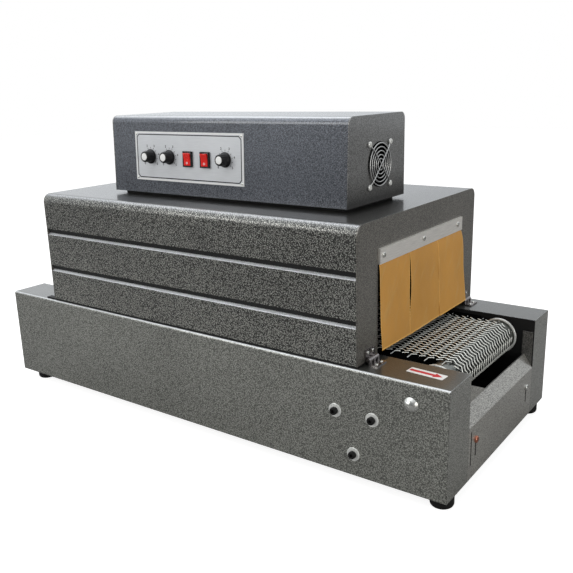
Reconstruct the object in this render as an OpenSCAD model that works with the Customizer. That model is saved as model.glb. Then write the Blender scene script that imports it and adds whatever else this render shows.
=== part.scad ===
// Bench-top heat shrink tunnel: a conveyor base with a mesh belt, a hinged hood that makes the tunnel
// over the belt, cloth curtains at both mouths and a control box on top of the hood.
// Millimetres. +X runs along the belt towards the outfeed end, the front is at -Y and +Z is up.
// The origin is on the floor, under the middle of the base.

/* [Base] */
// Length of the base along the belt
base_l = 900; // [840:10:1100]
// Width of the base across the belt
base_w = 398; // [380:2:460]
// Height of the base panels above the feet
base_h = 159; // [140:1:200]
// Width of the ledge beside the belt
ledge_w = 68; // [60:1:72]
// Thickness of the folded sheet of the base, the end plates and the liner
sheet = 2; // [1.5:0.1:2.5]
// Radius of the base's long top edges
base_edge_r = 4; // [3:0.5:8]
// Height of the lip under the ledge where the inner wall stops short of the ends
lip_h = 20; // [14:1:26]
// Length of the gap between the inner wall and the end column
wall_gap_l = 16; // [10:1:20]

/* [Feet] */
// Height of the rubber feet
foot_h = 18; // [10:1:30]
// Radius of the rubber feet
foot_r = 16.5; // [12:0.5:17]
// Radius of the lower edge of the feet
foot_edge_r = 5; // [2:0.5:8]
// Distance of the outfeed feet's centres from the end face
foot_out_x = 17.5; // [17.5:0.5:60]
// Distance of the infeed feet's centres from the end face
foot_in_x = 36; // [20:1:60]
// Distance of the feet's centres from the front and back faces
foot_y = 26; // [20:1:40]

/* [End covers] */
// Height of the fold where the end cover starts to slope inwards
cover_fold_h = 79; // [60:1:90]
// Horizontal reach of the sloped flange
cover_slope_run = 14; // [8:1:20]
// Vertical rise of the sloped flange
cover_slope_rise = 22; // [12:1:26]
// Height of the three-cornered ear on the flange beside the front column
ear_h = 42; // [20:1:46]
// Length of the ear along the flange
ear_l = 94; // [40:1:120]
// Width of the upright slit beside the front column
slit_w = 3; // [2:0.5:5]
// Distance of the slit from the column
slit_in = 8; // [5:0.5:14]
// Height of the slit's lower end above the cover's bottom edge
slit_low = 20; // [8:1:24]
// Height of the slit's upper end above the cover's bottom edge
slit_high = 71; // [50:1:72]
// Distance of the cover screws from the columns' inner edges
cover_screw_in = 26; // [18:1:50]
// Height of the cover screws above the cover's bottom edge
cover_screw_h = 54; // [40:1:56]
// Length of the open slot under each cover screw
cover_slot_l = 26; // [14:1:34]
// Width of the slot under each cover screw
cover_slot_w = 4; // [3:0.5:6]
// Radius of a cover screw's head
cover_screw_r = 5; // [4:0.5:8]
// Height of a cover screw's head
cover_screw_t = 3; // [2:0.5:5]

/* [Conveyor] */
// Distance of the roller axes from the base's end faces
roller_end = 54; // [50:1:80]
// Depth of the roller axes below the ledge
roller_drop = 31; // [29:1:40]
// Radius of the roller under the belt
roller_r = 24; // [18:0.5:25]
// Radius of the flange disc at each end of a roller
flange_r = 28.5; // [28.5:0.5:30]
// Thickness of a flange disc
flange_t = 3; // [2:0.5:5]
// Radius of the roller shafts
shaft_r = 6; // [4:0.5:8]
// Distance of the flange discs from the inner walls
flange_in = 10; // [8:0.5:24]
// Distance of the belt's front edge from the front flange discs
belt_front_in = 21; // [1:1:30]
// Distance of the belt's back edge from the back flange discs
belt_back_in = 8; // [1:1:30]
// Thickness of the mesh belt
belt_t = 3; // [2:0.5:4]
// Thickness of the slider bed under the belt's upper run
bed_t = 3; // [2:0.5:5]
// Free length between a roller's flange and the slider bed
bed_gap = 6; // [4:1:20]
// Radius of the domed nut on the outfeed shaft
shaft_nut_r = 10.5; // [9:0.5:14]
// Height of the domed nut
shaft_nut_t = 6; // [4:0.5:8]

/* [Drive motor bolts] */
// Distance of the motor bolts' centre line from the outfeed end face
motor_end = 139.5; // [110:0.5:180]
// Height of the motor's upper bolts above the panel's bottom edge
motor_high = 92.5; // [70:0.5:100]
// Distance between the two upper bolts
motor_pitch = 59; // [40:1:80]
// Drop from the upper bolts to the lower one
motor_drop = 59.5; // [40:0.5:62]
// Radius of the washers
motor_washer_r = 10; // [7:0.5:13]
// Thickness of the washers
motor_washer_t = 1.6; // [1:0.1:3]
// Radius of the bolt heads
motor_head_r = 5.5; // [4:0.5:6.5]
// Height of the bolt heads
motor_head_t = 5.5; // [4:0.5:10]

/* [Hood] */
// Length of the hood along the belt
hood_l = 645; // [580:1:680]
// Distance of the hood's outfeed end from the base's outfeed end
hood_end = 135; // [118:1:160]
// Distance of the hood's front and back from the base's front and back
hood_in = 3; // [2:0.5:10]
// Height of the hood
hood_h = 193; // [186:1:240]
// Gap between the ledge and the hood
hood_gap = 3; // [2.5:0.5:4]
// Thickness of the insulated hood wall
hood_wall = 8; // [7:0.5:16]
// Radius of the hood's long top edges
hood_edge_r = 14; // [10:0.5:24]
// Height of the upper groove's lower edge above the hood's bottom edge
groove_high = 120; // [100:1:140]
// Height of the lower groove's lower edge above the hood's bottom edge
groove_low = 53; // [30:1:80]
// Height of the grooves
groove_h = 11; // [8:0.5:14]
// Height of a groove's deepest line above its lower edge
groove_lip = 3; // [2:0.5:5]
// Depth of the grooves
groove_d = 5; // [3:0.5:5.5]
// Width of the black seal strips under the hood
seal_w = 10; // [8:0.5:14]
// Distance of the seal's outer edge from the hood's face
seal_in = 1; // [0.5:0.5:4]
// Length by which the seals run past the hood's infeed end
seal_over = 24; // [0:1:40]
// Gap between the seals and the hood
seal_gap = 0.4; // [0.3:0.1:0.8]

/* [Tunnel mouth and curtains] */
// Distance of the tunnel's sides from the hood's front and back
mouth_in = 56; // [51:1:76]
// Height of the clamp strip's lower edge above the ledge
strip_low = 133.5; // [110:0.5:140]
// Height of the clamp strip
strip_h = 22; // [16:1:28]
// Thickness of the clamp strip
strip_t = 3; // [2.5:0.5:5]
// Distance of the clamp strip's ends from the mouth's sides
strip_in = 0.5; // [0.5:0.5:6]
// Rise of the mouth's upper edge behind the clamp strip
mouth_rise = 5; // [5:0.5:8]
// Distance of the curtain's sides from the mouth's sides
curtain_in = 6; // [5:0.5:12]
// Height of the curtain's lower edge above the ledge
curtain_low = 6; // [5:0.5:20]
// Thickness of the curtain cloth
cloth_t = 2; // [1.5:0.1:2.5]
// Width of the slits between the flaps
flap_slit = 3; // [2:0.5:6]
// Gap between the curtain's rolled top edge and the clamp strip
curtain_gap = 0.3; // [0.2:0.1:0.6]

/* [Hood hinges] */
// Distance of the hinges' middles from the base's front and back faces
hinge_y = 35; // [26:0.5:36]
// Length of a hinge
hinge_l = 26; // [24:1:38]
// Radius of a hinge knuckle
knuckle_r = 3.2; // [2.8:0.1:5]
// Radius of a hinge pin
pin_r = 1.3; // [1:0.05:1.6]
// Radial running clearance of a hinge pin
pin_clear = 0.1; // [0.05:0.01:0.1]
// Height of the hinge axis above the ledge
hinge_h = 7; // [6:0.1:8]
// Thickness of a hinge leaf
leaf_t = 2; // [1.5:0.1:2.5]
// Reach of a hinge leaf past the knuckles
leaf_l = 11; // [9:1:26]
// Gap between neighbouring knuckles, and between a knuckle and the other leaf
knuckle_gap = 0.4; // [0.3:0.05:0.6]

/* [Control box] */
// Length of the control box
ctrl_l = 477; // [420:1:520]
// Depth of the control box at its bottom edge
ctrl_d = 170; // [140:1:200]
// Height of the control box
ctrl_h = 127; // [115:1:160]
// Distance of the control box's outfeed end from the hood's outfeed end
ctrl_end = 59; // [40:1:80]
// Distance of the control box's front edge from the base's front face
ctrl_front = 78; // [60:1:100]
// Angle at which the front of the control box leans back
ctrl_lean = 2.3; // [0.5:0.1:8]
// Radius of the control box's long top edges
ctrl_edge_r = 11; // [6:0.5:18]
// Thickness of the black spacer under the control box
spacer_t = 5; // [3:0.5:10]
// Distance of the spacer's edges from the box's faces
spacer_in = 13; // [10:1:40]

/* [Control panel] */
// Length of the panel plate
panel_l = 236; // [232:1:280]
// Height of the panel plate
panel_h = 80.5; // [60:0.5:90]
// Thickness of the panel plate
panel_t = 1.2; // [0.8:0.1:2]
// Distance of the panel's infeed end from the box's infeed end
panel_end = 56; // [30:1:90]
// Height of the panel's lower edge above the box's lower edge
panel_low = 21.5; // [12:0.5:34]
// Distances of the knobs from the panel's infeed end
knob_at = [36, 79, 199]; // [20:1:220]
// Height of the knobs above the panel's lower edge
knob_high = 40; // [30:0.5:50]
// Radius of a knob's skirt
knob_skirt_r = 12; // [10:0.5:14]
// Height of a knob's skirt
knob_skirt_t = 3; // [2:0.5:5]
// Radius of a knob's grip
knob_grip_r = 9.2; // [7:0.1:9.5]
// Height of a knob
knob_h = 15.5; // [12:0.5:20]
// Radius of a knob's inlaid cap
knob_cap_r = 5.6; // [4:0.1:6.4]
// Height by which the cap stands out
knob_cap_t = 0.8; // [0.4:0.1:1.5]
// Number of flutes round a knob's grip
knob_flutes = 14; // [8:1:20]
// Radius of a flute
knob_flute_r = 0.9; // [0.5:0.1:1.2]
// Gap between a knob and the panel
knob_gap = 0.4; // [0.3:0.1:0.8]
// Distances of the rocker switches from the panel's infeed end
switch_at = [121, 158]; // [100:0.5:170]
// Height of the switches' middles above the panel's lower edge
switch_high = 38; // [30:0.5:45]
// Width of a switch bezel
bezel_w = 19; // [18:0.5:26]
// Height of a switch bezel
bezel_l = 25; // [22:0.5:30]
// Thickness of a switch bezel
bezel_t = 3.4; // [2.5:0.1:4]
// Width of a bezel's rim
bezel_rim = 2; // [2:0.1:4]
// Gap between a rocker and its bezel
rocker_gap = 0.5; // [0.4:0.05:0.8]
// Height of a rocker's pivot above the panel
rocker_pivot = 3; // [2.6:0.1:4]
// Angle at which a switched rocker leans
rocker_lean = 8; // [4:0.5:10]

/* [Fan] */
// Distance of the fan's axis from the box's front edge
fan_back = 89.5; // [70:0.5:100]
// Height of the fan's axis above the box's lower edge
fan_high = 54.5; // [46:0.5:62]
// Width of the fan's frame
fan_w = 70; // [68:1:80]
// Depth of the fan's frame
fan_d = 22; // [18:1:30]
// Radius of the fan's opening
fan_r = 33; // [31:0.5:33.5]
// Radial clearance of the blades
blade_gap = 5; // [4.5:0.5:8]
// Radius of the fan's hub
hub_r = 12; // [9:0.5:15]
// Number of blades
blades = 7; // [5:1:9]
// Pitch of the blades
blade_pitch = 40; // [25:1:55]
// Thickness of the blades
blade_t = 1.4; // [1:0.1:2]
// Distance between neighbouring screws of the fan guard
guard_pitch = 62; // [60:0.5:64]
// Radius of the guard's wire
wire_r = 0.9; // [0.8:0.1:1.2]
// Number of rings in the guard
guard_rings = 5; // [3:1:6]
// Distance of the guard's outer ring from the opening's edge
guard_in = 1.8; // [1.4:0.1:4]
// Height of the guard's rings above the end plate
guard_h = 2.4; // [2:0.1:6]
// Radius of the screw heads that hold the guard
guard_screw_r = 3.6; // [3:0.1:4]
// Height of the screw heads that hold the guard
guard_screw_t = 2.4; // [2:0.1:3]

/* [Hidden] */
$fn = 64;
eps = 0.5;
fine_gap = 0.3;

base_x = base_l / 2;
base_y = base_w / 2;
base_z0 = foot_h;
base_z1 = foot_h + base_h;
inner_y = base_y - ledge_w;
cover_screw_y = inner_y - cover_screw_in;

roller_x = base_x - roller_end;
roller_z = base_z1 - roller_drop;
belt_in_r = roller_r + fine_gap;
belt_out_r = belt_in_r + belt_t;
flange_y = inner_y - flange_in - flange_t;
belt_y0 = belt_front_in - flange_y;
belt_y1 = flange_y - belt_back_in;
bed_x = roller_x - flange_r - bed_gap;

hood_x1 = base_x - hood_end;
hood_x0 = hood_x1 - hood_l;
hood_y = base_y - hood_in;
hood_z0 = base_z1 + hood_gap;
hood_z1 = hood_z0 + hood_h;
mouth_y = hood_y - mouth_in;
strip_z0 = base_z1 + strip_low;
mouth_z1 = strip_z0 + mouth_rise;

cloth_r = cloth_t / 2;
curtain_x = cloth_r + fine_gap;
curtain_z1 = strip_z0 - curtain_gap - cloth_r;
curtain_z0 = base_z1 + curtain_low;
curtain_y = mouth_y - curtain_in;
flap_w = (2 * curtain_y - 2 * flap_slit) / 3;

hinge_x = hood_x1 + leaf_t + knuckle_r + knuckle_gap;
hinge_z = base_z1 + hinge_h;
knuckles = 5;
knuckle_l = hinge_l / knuckles;

ctrl_x1 = hood_x1 - ctrl_end;
ctrl_x0 = ctrl_x1 - ctrl_l;
ctrl_y0 = ctrl_front - base_y;
ctrl_y1 = ctrl_y0 + ctrl_d;
ctrl_z0 = hood_z1 + spacer_t;
ctrl_z1 = ctrl_z0 + ctrl_h;

panel_x0 = ctrl_x0 + panel_end;
rocker_w = bezel_w - 2 * bezel_rim - 2 * rocker_gap;
rocker_l = bezel_l - 2 * bezel_rim - 2 * rocker_gap;

fan_y = ctrl_y0 + fan_back;
fan_z = ctrl_z0 + fan_high;
fan_x = ctrl_x1 - sheet;
spider_t = 3;
spider_w = 5;
hub_t = fan_d / 2;

paint = "dimgray";
steel = "silver";
black = [0.08, 0.08, 0.08];
tan_cloth = [0.68, 0.49, 0.27];

// A block between two corners.
module block(low, high) {
    translate(low)
        cube(high - low);
}

// An outline in the YZ plane, swept along X.
module along_x(x0, x1) {
    translate([x0, 0, 0])
        rotate([90, 0, 90])
            linear_extrude(x1 - x0)
                children();
}

// An outline in the XZ plane, swept along Y.
module along_y(y0, y1) {
    translate([0, y1, 0])
        rotate([90, 0, 0])
            linear_extrude(y1 - y0)
                children();
}

// A round bar along Y.
module bar_y(x, z, r, y0, y1) {
    translate([x, y0, z])
        rotate([-90, 0, 0])
            cylinder(r = r, h = y1 - y0);
}

// The outline of a box section whose upper outer edge is rounded.
module edge_outline(y0, y1, z0, z1, r) {
    translate([y0, z0])
        square([y1 - y0, z1 - z0 - r]);
    translate([y0, z0])
        square([y1 - y0 - r, z1 - z0]);
    translate([y1 - r, z1 - r])
        circle(r);
}

// The outline of the hood, with both long top edges rounded.
module hood_outline(inset, z0) {
    y = hood_y - inset;
    z1 = hood_z1 - inset;
    r = hood_edge_r - inset;
    edge_outline(0, y, z0, z1, r);
    mirror([1, 0])
        edge_outline(0, y, z0, z1, r);
}

// The belt's closed path round both rollers, at a given distance from their axes.
module belt_loop(r) {
    translate([-roller_x, roller_z - r])
        square([2 * roller_x, 2 * r]);
    for (side = [-1, 1])
        translate([side * roller_x, roller_z])
            circle(r);
}

// One side channel of the base: a folded sheet with an outer panel, a ledge, an inner wall and end columns.
module side_channel() {
    color(paint)
        difference() {
            along_x(-base_x, base_x)
                edge_outline(inner_y, base_y, base_z0, base_z1, base_edge_r);
            along_x(-base_x + sheet, base_x - sheet)
                edge_outline(inner_y + sheet, base_y - sheet, base_z0 - eps, base_z1 - sheet, base_edge_r - sheet);
            block([-base_x + sheet, inner_y - eps, base_z0 - eps],
                  [base_x - sheet, base_y - sheet, base_z0 + sheet]);
            for (end = [0, 1])
                mirror([end, 0, 0]) {
                    block([base_x - sheet - wall_gap_l, inner_y - eps, base_z0 - eps],
                          [base_x - sheet, inner_y + sheet + eps, base_z1 - lip_h]);
                    bar_y(roller_x, roller_z, shaft_r + fine_gap, inner_y - eps, inner_y + sheet + eps);
                }
        }
}

module base_front_channel() {
    mirror([0, 1, 0])
        side_channel();
}

module base_back_channel() {
    side_channel();
}

module base_bottom_plate() {
    color(paint)
        block([-base_x + sheet, -base_y + sheet, base_z0], [base_x - sheet, base_y - sheet, base_z0 + sheet]);
}

// The end cover at the outfeed end: an upright plate, a flange that slopes inwards, a three-cornered ear and
// side tabs that close the gaps beside the inner walls.
module end_cover() {
    fold_z = base_z0 + cover_fold_h;
    top_z = fold_z + cover_slope_rise;
    slope_x = base_x - cover_slope_run;
    flange_edge = inner_y - fine_gap;
    screw_z = base_z0 + cover_screw_h;
    color(paint) {
        difference() {
            block([base_x - sheet, -inner_y, base_z0], [base_x, inner_y, fold_z]);
            block([base_x - sheet - eps, -inner_y + slit_in, base_z0 + slit_low],
                  [base_x + eps, -inner_y + slit_in + slit_w, base_z0 + slit_high]);
            for (side = [-1, 1])
                block([base_x - sheet - eps, side * cover_screw_y - cover_slot_w / 2, screw_z - cover_slot_l],
                      [base_x + eps, side * cover_screw_y + cover_slot_w / 2, screw_z]);
        }
        along_y(-flange_edge, flange_edge)
            polygon([[base_x, fold_z], [slope_x, top_z], [slope_x - sheet, top_z], [base_x - sheet, fold_z]]);
        along_x(slope_x - sheet, slope_x)
            polygon([[-flange_edge, top_z - sheet], [ear_l - flange_edge, top_z - sheet],
                     [ear_l - flange_edge, top_z], [-flange_edge, top_z + ear_h]]);
        for (back = [0, 1])
            mirror([0, back, 0])
                block([base_x - sheet - wall_gap_l, flange_edge - sheet, fold_z - sheet],
                      [base_x - sheet, flange_edge, base_z1 - lip_h]);
    }
}

module outfeed_end_cover() {
    end_cover();
}

module infeed_end_cover() {
    mirror([1, 0, 0])
        end_cover();
}

// The two screws that hold the outfeed end cover.
module cover_screws() {
    color(steel)
        for (side = [-1, 1])
            translate([base_x, side * cover_screw_y, base_z0 + cover_screw_h])
                rotate([0, 90, 0])
                    cylinder(r = cover_screw_r, h = cover_screw_t);
}

module outfeed_cover_screws() {
    cover_screws();
}

module infeed_cover_screws() {
    mirror([1, 0, 0])
        cover_screws();
}

module rubber_feet() {
    color(black)
        for (x = [-base_x + foot_in_x, base_x - foot_out_x], side = [-1, 1])
            translate([x, side * (base_y - foot_y), 0])
                rotate_extrude() {
                    square([foot_r - foot_edge_r, foot_h]);
                    translate([0, foot_edge_r])
                        square([foot_r, foot_h - foot_edge_r]);
                    translate([foot_r - foot_edge_r, foot_edge_r])
                        circle(foot_edge_r);
                }
}

// A roller with its flange discs, on a shaft that ends against the outer panels.
module roller(x) {
    shaft_y = base_y - sheet;
    color(steel) {
        bar_y(x, roller_z, roller_r, -flange_y, flange_y);
        bar_y(x, roller_z, shaft_r, -shaft_y, shaft_y);
        bar_y(x, roller_z, flange_r, flange_y, flange_y + flange_t);
        bar_y(x, roller_z, flange_r, -flange_y - flange_t, -flange_y);
    }
}

module outfeed_roller() {
    roller(roller_x);
}

module infeed_roller() {
    roller(-roller_x);
}

module mesh_belt() {
    color(steel)
        along_y(belt_y0, belt_y1)
            difference() {
                belt_loop(belt_out_r);
                belt_loop(belt_in_r);
            }
}

module belt_bed() {
    top_z = roller_z + belt_in_r;
    color(black)
        block([-bed_x, -inner_y, top_z - bed_t], [bed_x, inner_y, top_z]);
}

// The three bolts of the drive motor, with their washers, on the front panel.
module motor_bolts() {
    x = base_x - motor_end;
    high_z = base_z0 + motor_high;
    places = [[x - motor_pitch / 2, high_z], [x + motor_pitch / 2, high_z], [x, high_z - motor_drop]];
    for (place = places)
        translate([place[0], -base_y, place[1]])
            rotate([90, 0, 0]) {
                color(steel)
                    cylinder(r = motor_washer_r, h = motor_washer_t);
                color(black)
                    translate([0, 0, motor_washer_t])
                        cylinder(r = motor_head_r, h = motor_head_t);
            }
}

// A domed nut, standing on its flat face.
module domed_nut(r, t) {
    dome_r = (r * r + t * t) / (2 * t);
    rotate_extrude()
        intersection() {
            translate([0, t - dome_r])
                circle(dome_r, $fn = 128);
            square([r, t]);
        }
}

module shaft_nuts() {
    color(steel)
        for (back = [0, 1])
            mirror([0, back, 0])
                translate([roller_x, -base_y, roller_z])
                    rotate([90, 0, 0])
                        domed_nut(shaft_nut_r, shaft_nut_t);
}

module hood_seals() {
    edge = hood_y - seal_in;
    color(black)
        for (back = [0, 1])
            mirror([0, back, 0])
                block([hood_x0 - seal_over, -edge, base_z1], [hood_x1, -edge + seal_w, hood_z0 - seal_gap]);
}

// The knuckles of one hinge leaf, of the hinge at the back: every second one along the pin.
module knuckle_row(first) {
    y0 = base_y - hinge_y - hinge_l / 2;
    for (i = [first : 2 : knuckles - 1]) {
        low = y0 + i * knuckle_l + knuckle_gap / 2;
        high = y0 + (i + 1) * knuckle_l - knuckle_gap / 2;
        bar_y(hinge_x, hinge_z, knuckle_r, low, high);
        if (first == 0)
            block([hinge_x, low, base_z1], [hinge_x + knuckle_r + knuckle_gap, high, hinge_z]);
        else
            block([hood_x1, low, hinge_z], [hinge_x, high, hinge_z + knuckle_r]);
    }
}

// The hinge leaf on the ledge, with its knuckles and the pin.
module hinge_base_leaf() {
    y0 = base_y - hinge_y - hinge_l / 2;
    leaf_x = hinge_x + knuckle_r + knuckle_gap;
    color(paint) {
        knuckle_row(0);
        bar_y(hinge_x, hinge_z, pin_r, y0, y0 + hinge_l);
        block([leaf_x, y0, base_z1], [leaf_x + leaf_l, y0 + hinge_l, base_z1 + leaf_t]);
    }
}

// The hinge leaf on the hood's end, with its bored knuckles.
module hinge_hood_leaf() {
    y0 = base_y - hinge_y - hinge_l / 2;
    leaf_z = hinge_z + knuckle_r;
    color(paint)
        difference() {
            union() {
                knuckle_row(1);
                block([hood_x1, y0, leaf_z - knuckle_r / 2], [hood_x1 + leaf_t, y0 + hinge_l, leaf_z + leaf_l]);
            }
            bar_y(hinge_x, hinge_z, pin_r + pin_clear, y0 - eps, y0 + hinge_l + eps);
        }
}

module front_hinge_base_leaf() {
    mirror([0, 1, 0])
        hinge_base_leaf();
}

module back_hinge_base_leaf() {
    hinge_base_leaf();
}

module front_hinge_hood_leaf() {
    mirror([0, 1, 0])
        hinge_hood_leaf();
}

module back_hinge_hood_leaf() {
    hinge_hood_leaf();
}

// A pressed groove along the hood's front: a tall face that overhangs and a short one that slopes out again.
module groove(z) {
    along_x(hood_x0, hood_x1)
        polygon([[-hood_y - eps, z], [-hood_y, z], [-hood_y + groove_d, z + groove_lip], [-hood_y, z + groove_h],
                 [-hood_y - eps, z + groove_h]]);
}

module hood_shell() {
    color(paint)
        difference() {
            along_x(hood_x0 + sheet, hood_x1 - sheet)
                hood_outline(0, hood_z0);
            along_x(hood_x0, hood_x1)
                hood_outline(hood_wall, hood_z0 - eps);
            for (back = [0, 1], z = [groove_low, groove_high])
                mirror([0, back, 0])
                    groove(hood_z0 + z);
        }
}

// An end plate of the hood, with the tunnel's mouth.
module hood_end_plate(x0) {
    color(paint)
        difference() {
            along_x(x0, x0 + sheet)
                hood_outline(0, hood_z0);
            block([x0 - eps, -mouth_y, hood_z0 - eps], [x0 + sheet + eps, mouth_y, mouth_z1]);
        }
}

module outfeed_hood_end() {
    hood_end_plate(hood_x1 - sheet);
}

module infeed_hood_end() {
    hood_end_plate(hood_x0);
}

module tunnel_liner() {
    color(black)
        difference() {
            block([hood_x0 + sheet, -mouth_y - sheet, hood_z0], [hood_x1 - sheet, mouth_y + sheet, mouth_z1 + sheet]);
            block([hood_x0, -mouth_y, hood_z0 - eps], [hood_x1, mouth_y, mouth_z1]);
        }
}

// The strip that clamps a curtain to an end plate.
module clamp_strip(x0, x1) {
    color(steel)
        block([x0, -mouth_y + strip_in, strip_z0], [x1, mouth_y - strip_in, strip_z0 + strip_h]);
}

module outfeed_clamp_strip() {
    clamp_strip(hood_x1, hood_x1 + strip_t);
}

module infeed_clamp_strip() {
    clamp_strip(hood_x0 - strip_t, hood_x0);
}

// One flap of a curtain, hanging from its rolled top edge.
module flap(x, number) {
    y0 = -curtain_y + number * (flap_w + flap_slit);
    color(tan_cloth) {
        block([x - cloth_r, y0, curtain_z0], [x + cloth_r, y0 + flap_w, curtain_z1]);
        bar_y(x, curtain_z1, cloth_r, y0, y0 + flap_w);
    }
}

module outfeed_front_flap() {
    flap(hood_x1 + curtain_x, 0);
}

module outfeed_middle_flap() {
    flap(hood_x1 + curtain_x, 1);
}

module outfeed_back_flap() {
    flap(hood_x1 + curtain_x, 2);
}

module infeed_front_flap() {
    flap(hood_x0 - curtain_x, 0);
}

module infeed_middle_flap() {
    flap(hood_x0 - curtain_x, 1);
}

module infeed_back_flap() {
    flap(hood_x0 - curtain_x, 2);
}

// The control box in section: a front that leans back, and rounded top edges.
module ctrl_outline(inset, z0) {
    r = ctrl_edge_r - inset;
    y0 = ctrl_y0 + inset / cos(ctrl_lean) + (z0 - ctrl_z0) * tan(ctrl_lean);
    y1 = ctrl_y1 - inset;
    z1 = ctrl_z1 - inset;
    rise = (z1 - r - z0 + r * sin(ctrl_lean)) / cos(ctrl_lean);
    edge = [y0 + rise * sin(ctrl_lean), z0 + rise * cos(ctrl_lean)];
    centre = edge + r * [cos(ctrl_lean), -sin(ctrl_lean)];
    back_centre = [y1 - r, z1 - r];
    polygon([[y0, z0], [y1, z0], [y1, back_centre[1]], back_centre, [back_centre[0], z1],
             [centre[0], z1], centre, edge]);
    translate(centre)
        circle(r);
    translate(back_centre)
        circle(r);
}

module control_box_spacer() {
    color(black)
        block([ctrl_x0 + spacer_in, ctrl_y0 + spacer_in, hood_z1],
              [ctrl_x1 - spacer_in, ctrl_y1 - spacer_in, ctrl_z0]);
}

module control_box_floor() {
    color(black)
        along_x(ctrl_x0 + sheet, ctrl_x1 - sheet)
            intersection() {
                ctrl_outline(sheet, ctrl_z0);
                translate([ctrl_y0, ctrl_z0])
                    square([ctrl_d, sheet]);
            }
}

module control_box_cover() {
    color(paint)
        along_x(ctrl_x0 + sheet, ctrl_x1 - sheet)
            difference() {
                ctrl_outline(0, ctrl_z0);
                ctrl_outline(sheet, ctrl_z0 - eps);
            }
}

module control_box_fan_end() {
    color(paint)
        difference() {
            along_x(fan_x, ctrl_x1)
                ctrl_outline(0, ctrl_z0);
            translate([fan_x - eps, fan_y, fan_z])
                rotate([0, 90, 0])
                    cylinder(r = fan_r, h = sheet + 2 * eps);
        }
}

module control_box_plain_end() {
    color(paint)
        along_x(ctrl_x0, ctrl_x0 + sheet)
            ctrl_outline(0, ctrl_z0);
}

// Places children on the leaning front: X along the box, Y up the slope from the panel's lower edge, Z outwards.
module on_front(x, up) {
    translate([panel_x0 + x, ctrl_y0 + panel_low * tan(ctrl_lean), ctrl_z0 + panel_low])
        rotate([90 - ctrl_lean, 0, 0])
            translate([0, up, 0])
                children();
}

module control_panel_plate() {
    color("gainsboro")
        on_front(0, 0)
            cube([panel_l, panel_h, panel_t]);
}

module switch_bezels() {
    window = [bezel_w - 2 * bezel_rim, bezel_l - 2 * bezel_rim];
    color(black)
        for (x = switch_at)
            on_front(x, switch_high)
                translate([0, 0, panel_t])
                    linear_extrude(bezel_t)
                        difference() {
                            square([bezel_w, bezel_l], center = true);
                            square(window, center = true);
                        }
}

// A rocker with two faces that meet over its pivot, leaning towards its switched side.
module rocker(number) {
    half = rocker_l / 2;
    dip = half * tan(rocker_lean);
    low = fine_gap + rocker_gap - rocker_pivot;
    high = bezel_t + rocker_gap - rocker_pivot;
    color("red")
        on_front(switch_at[number], switch_high)
            translate([0, 0, panel_t + rocker_pivot])
                rotate([rocker_lean, 0, 0])
                    rotate([90, 0, 90])
                        linear_extrude(rocker_w, center = true)
                            polygon([[0, low], [half, low + dip], [half, high + dip],
                                     [0, high], [-half, high + dip], [-half, low + dip]]);
}

module first_rocker() {
    rocker(0);
}

module second_rocker() {
    rocker(1);
}

// A fluted knob on a skirt, with a crowned top and an inlaid cap.
module knob(number) {
    crown_z = knob_h - knob_flute_r;
    crown_r = knob_grip_r - 1.5 * knob_flute_r;
    top_r = crown_r - knob_flute_r;
    on_front(knob_at[number], knob_high)
        translate([0, 0, panel_t + knob_gap]) {
            color(black) {
                rotate_extrude()
                    polygon([[0, 0], [knob_skirt_r, 0], [knob_skirt_r, knob_skirt_t / 2],
                             [knob_grip_r + knob_flute_r, knob_skirt_t], [0, knob_skirt_t]]);
                translate([0, 0, knob_skirt_t])
                    linear_extrude(crown_z - knob_skirt_t)
                        difference() {
                            circle(knob_grip_r);
                            for (i = [0 : knob_flutes - 1])
                                rotate(i * 360 / knob_flutes)
                                    translate([knob_grip_r + knob_flute_r / 2, 0])
                                        circle(knob_flute_r);
                        }
                translate([0, 0, crown_z])
                    cylinder(r1 = crown_r, r2 = top_r, h = knob_flute_r);
            }
            color("white")
                translate([0, 0, knob_h])
                    cylinder(r = min(knob_cap_r, top_r - fine_gap), h = knob_cap_t);
        }
}

module first_knob() {
    knob(0);
}

module second_knob() {
    knob(1);
}

module third_knob() {
    knob(2);
}

// Places children on the fan's axis, with +Z pointing out through the guard and zero at the frame's front face.
module on_fan() {
    translate([fan_x, fan_y, fan_z])
        rotate([90, 0, 90])
            children();
}

// The fan's square frame, with the four arms and the bearing cup that carry the rotor.
module fan_frame() {
    color(black)
        on_fan()
            translate([0, 0, -fan_d]) {
                linear_extrude(fan_d)
                    difference() {
                        square(fan_w, center = true);
                        circle(fan_r);
                    }
                cylinder(r = hub_r, h = spider_t);
                for (turn = [0, 90])
                    rotate([0, 0, turn])
                        translate([-fan_r - eps, -spider_w / 2, 0])
                            cube([2 * fan_r + 2 * eps, spider_w, spider_t]);
            }
}

// The fan's hub with its pitched blades.
module fan_rotor() {
    blade_r = fan_r - blade_gap;
    color(black)
        on_fan()
            translate([0, 0, spider_t + fine_gap - fan_d]) {
                cylinder(r = hub_r, h = hub_t);
                intersection() {
                    cylinder(r = blade_r, h = hub_t);
                    for (i = [0 : blades - 1])
                        rotate([0, 0, i * 360 / blades])
                            translate([hub_r / 2, 0, hub_t / 2])
                                rotate([blade_pitch, 0, 0])
                                    translate([0, -hub_t, -blade_t / 2])
                                        cube([blade_r, 2 * hub_t, blade_t]);
                }
            }
}

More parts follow.
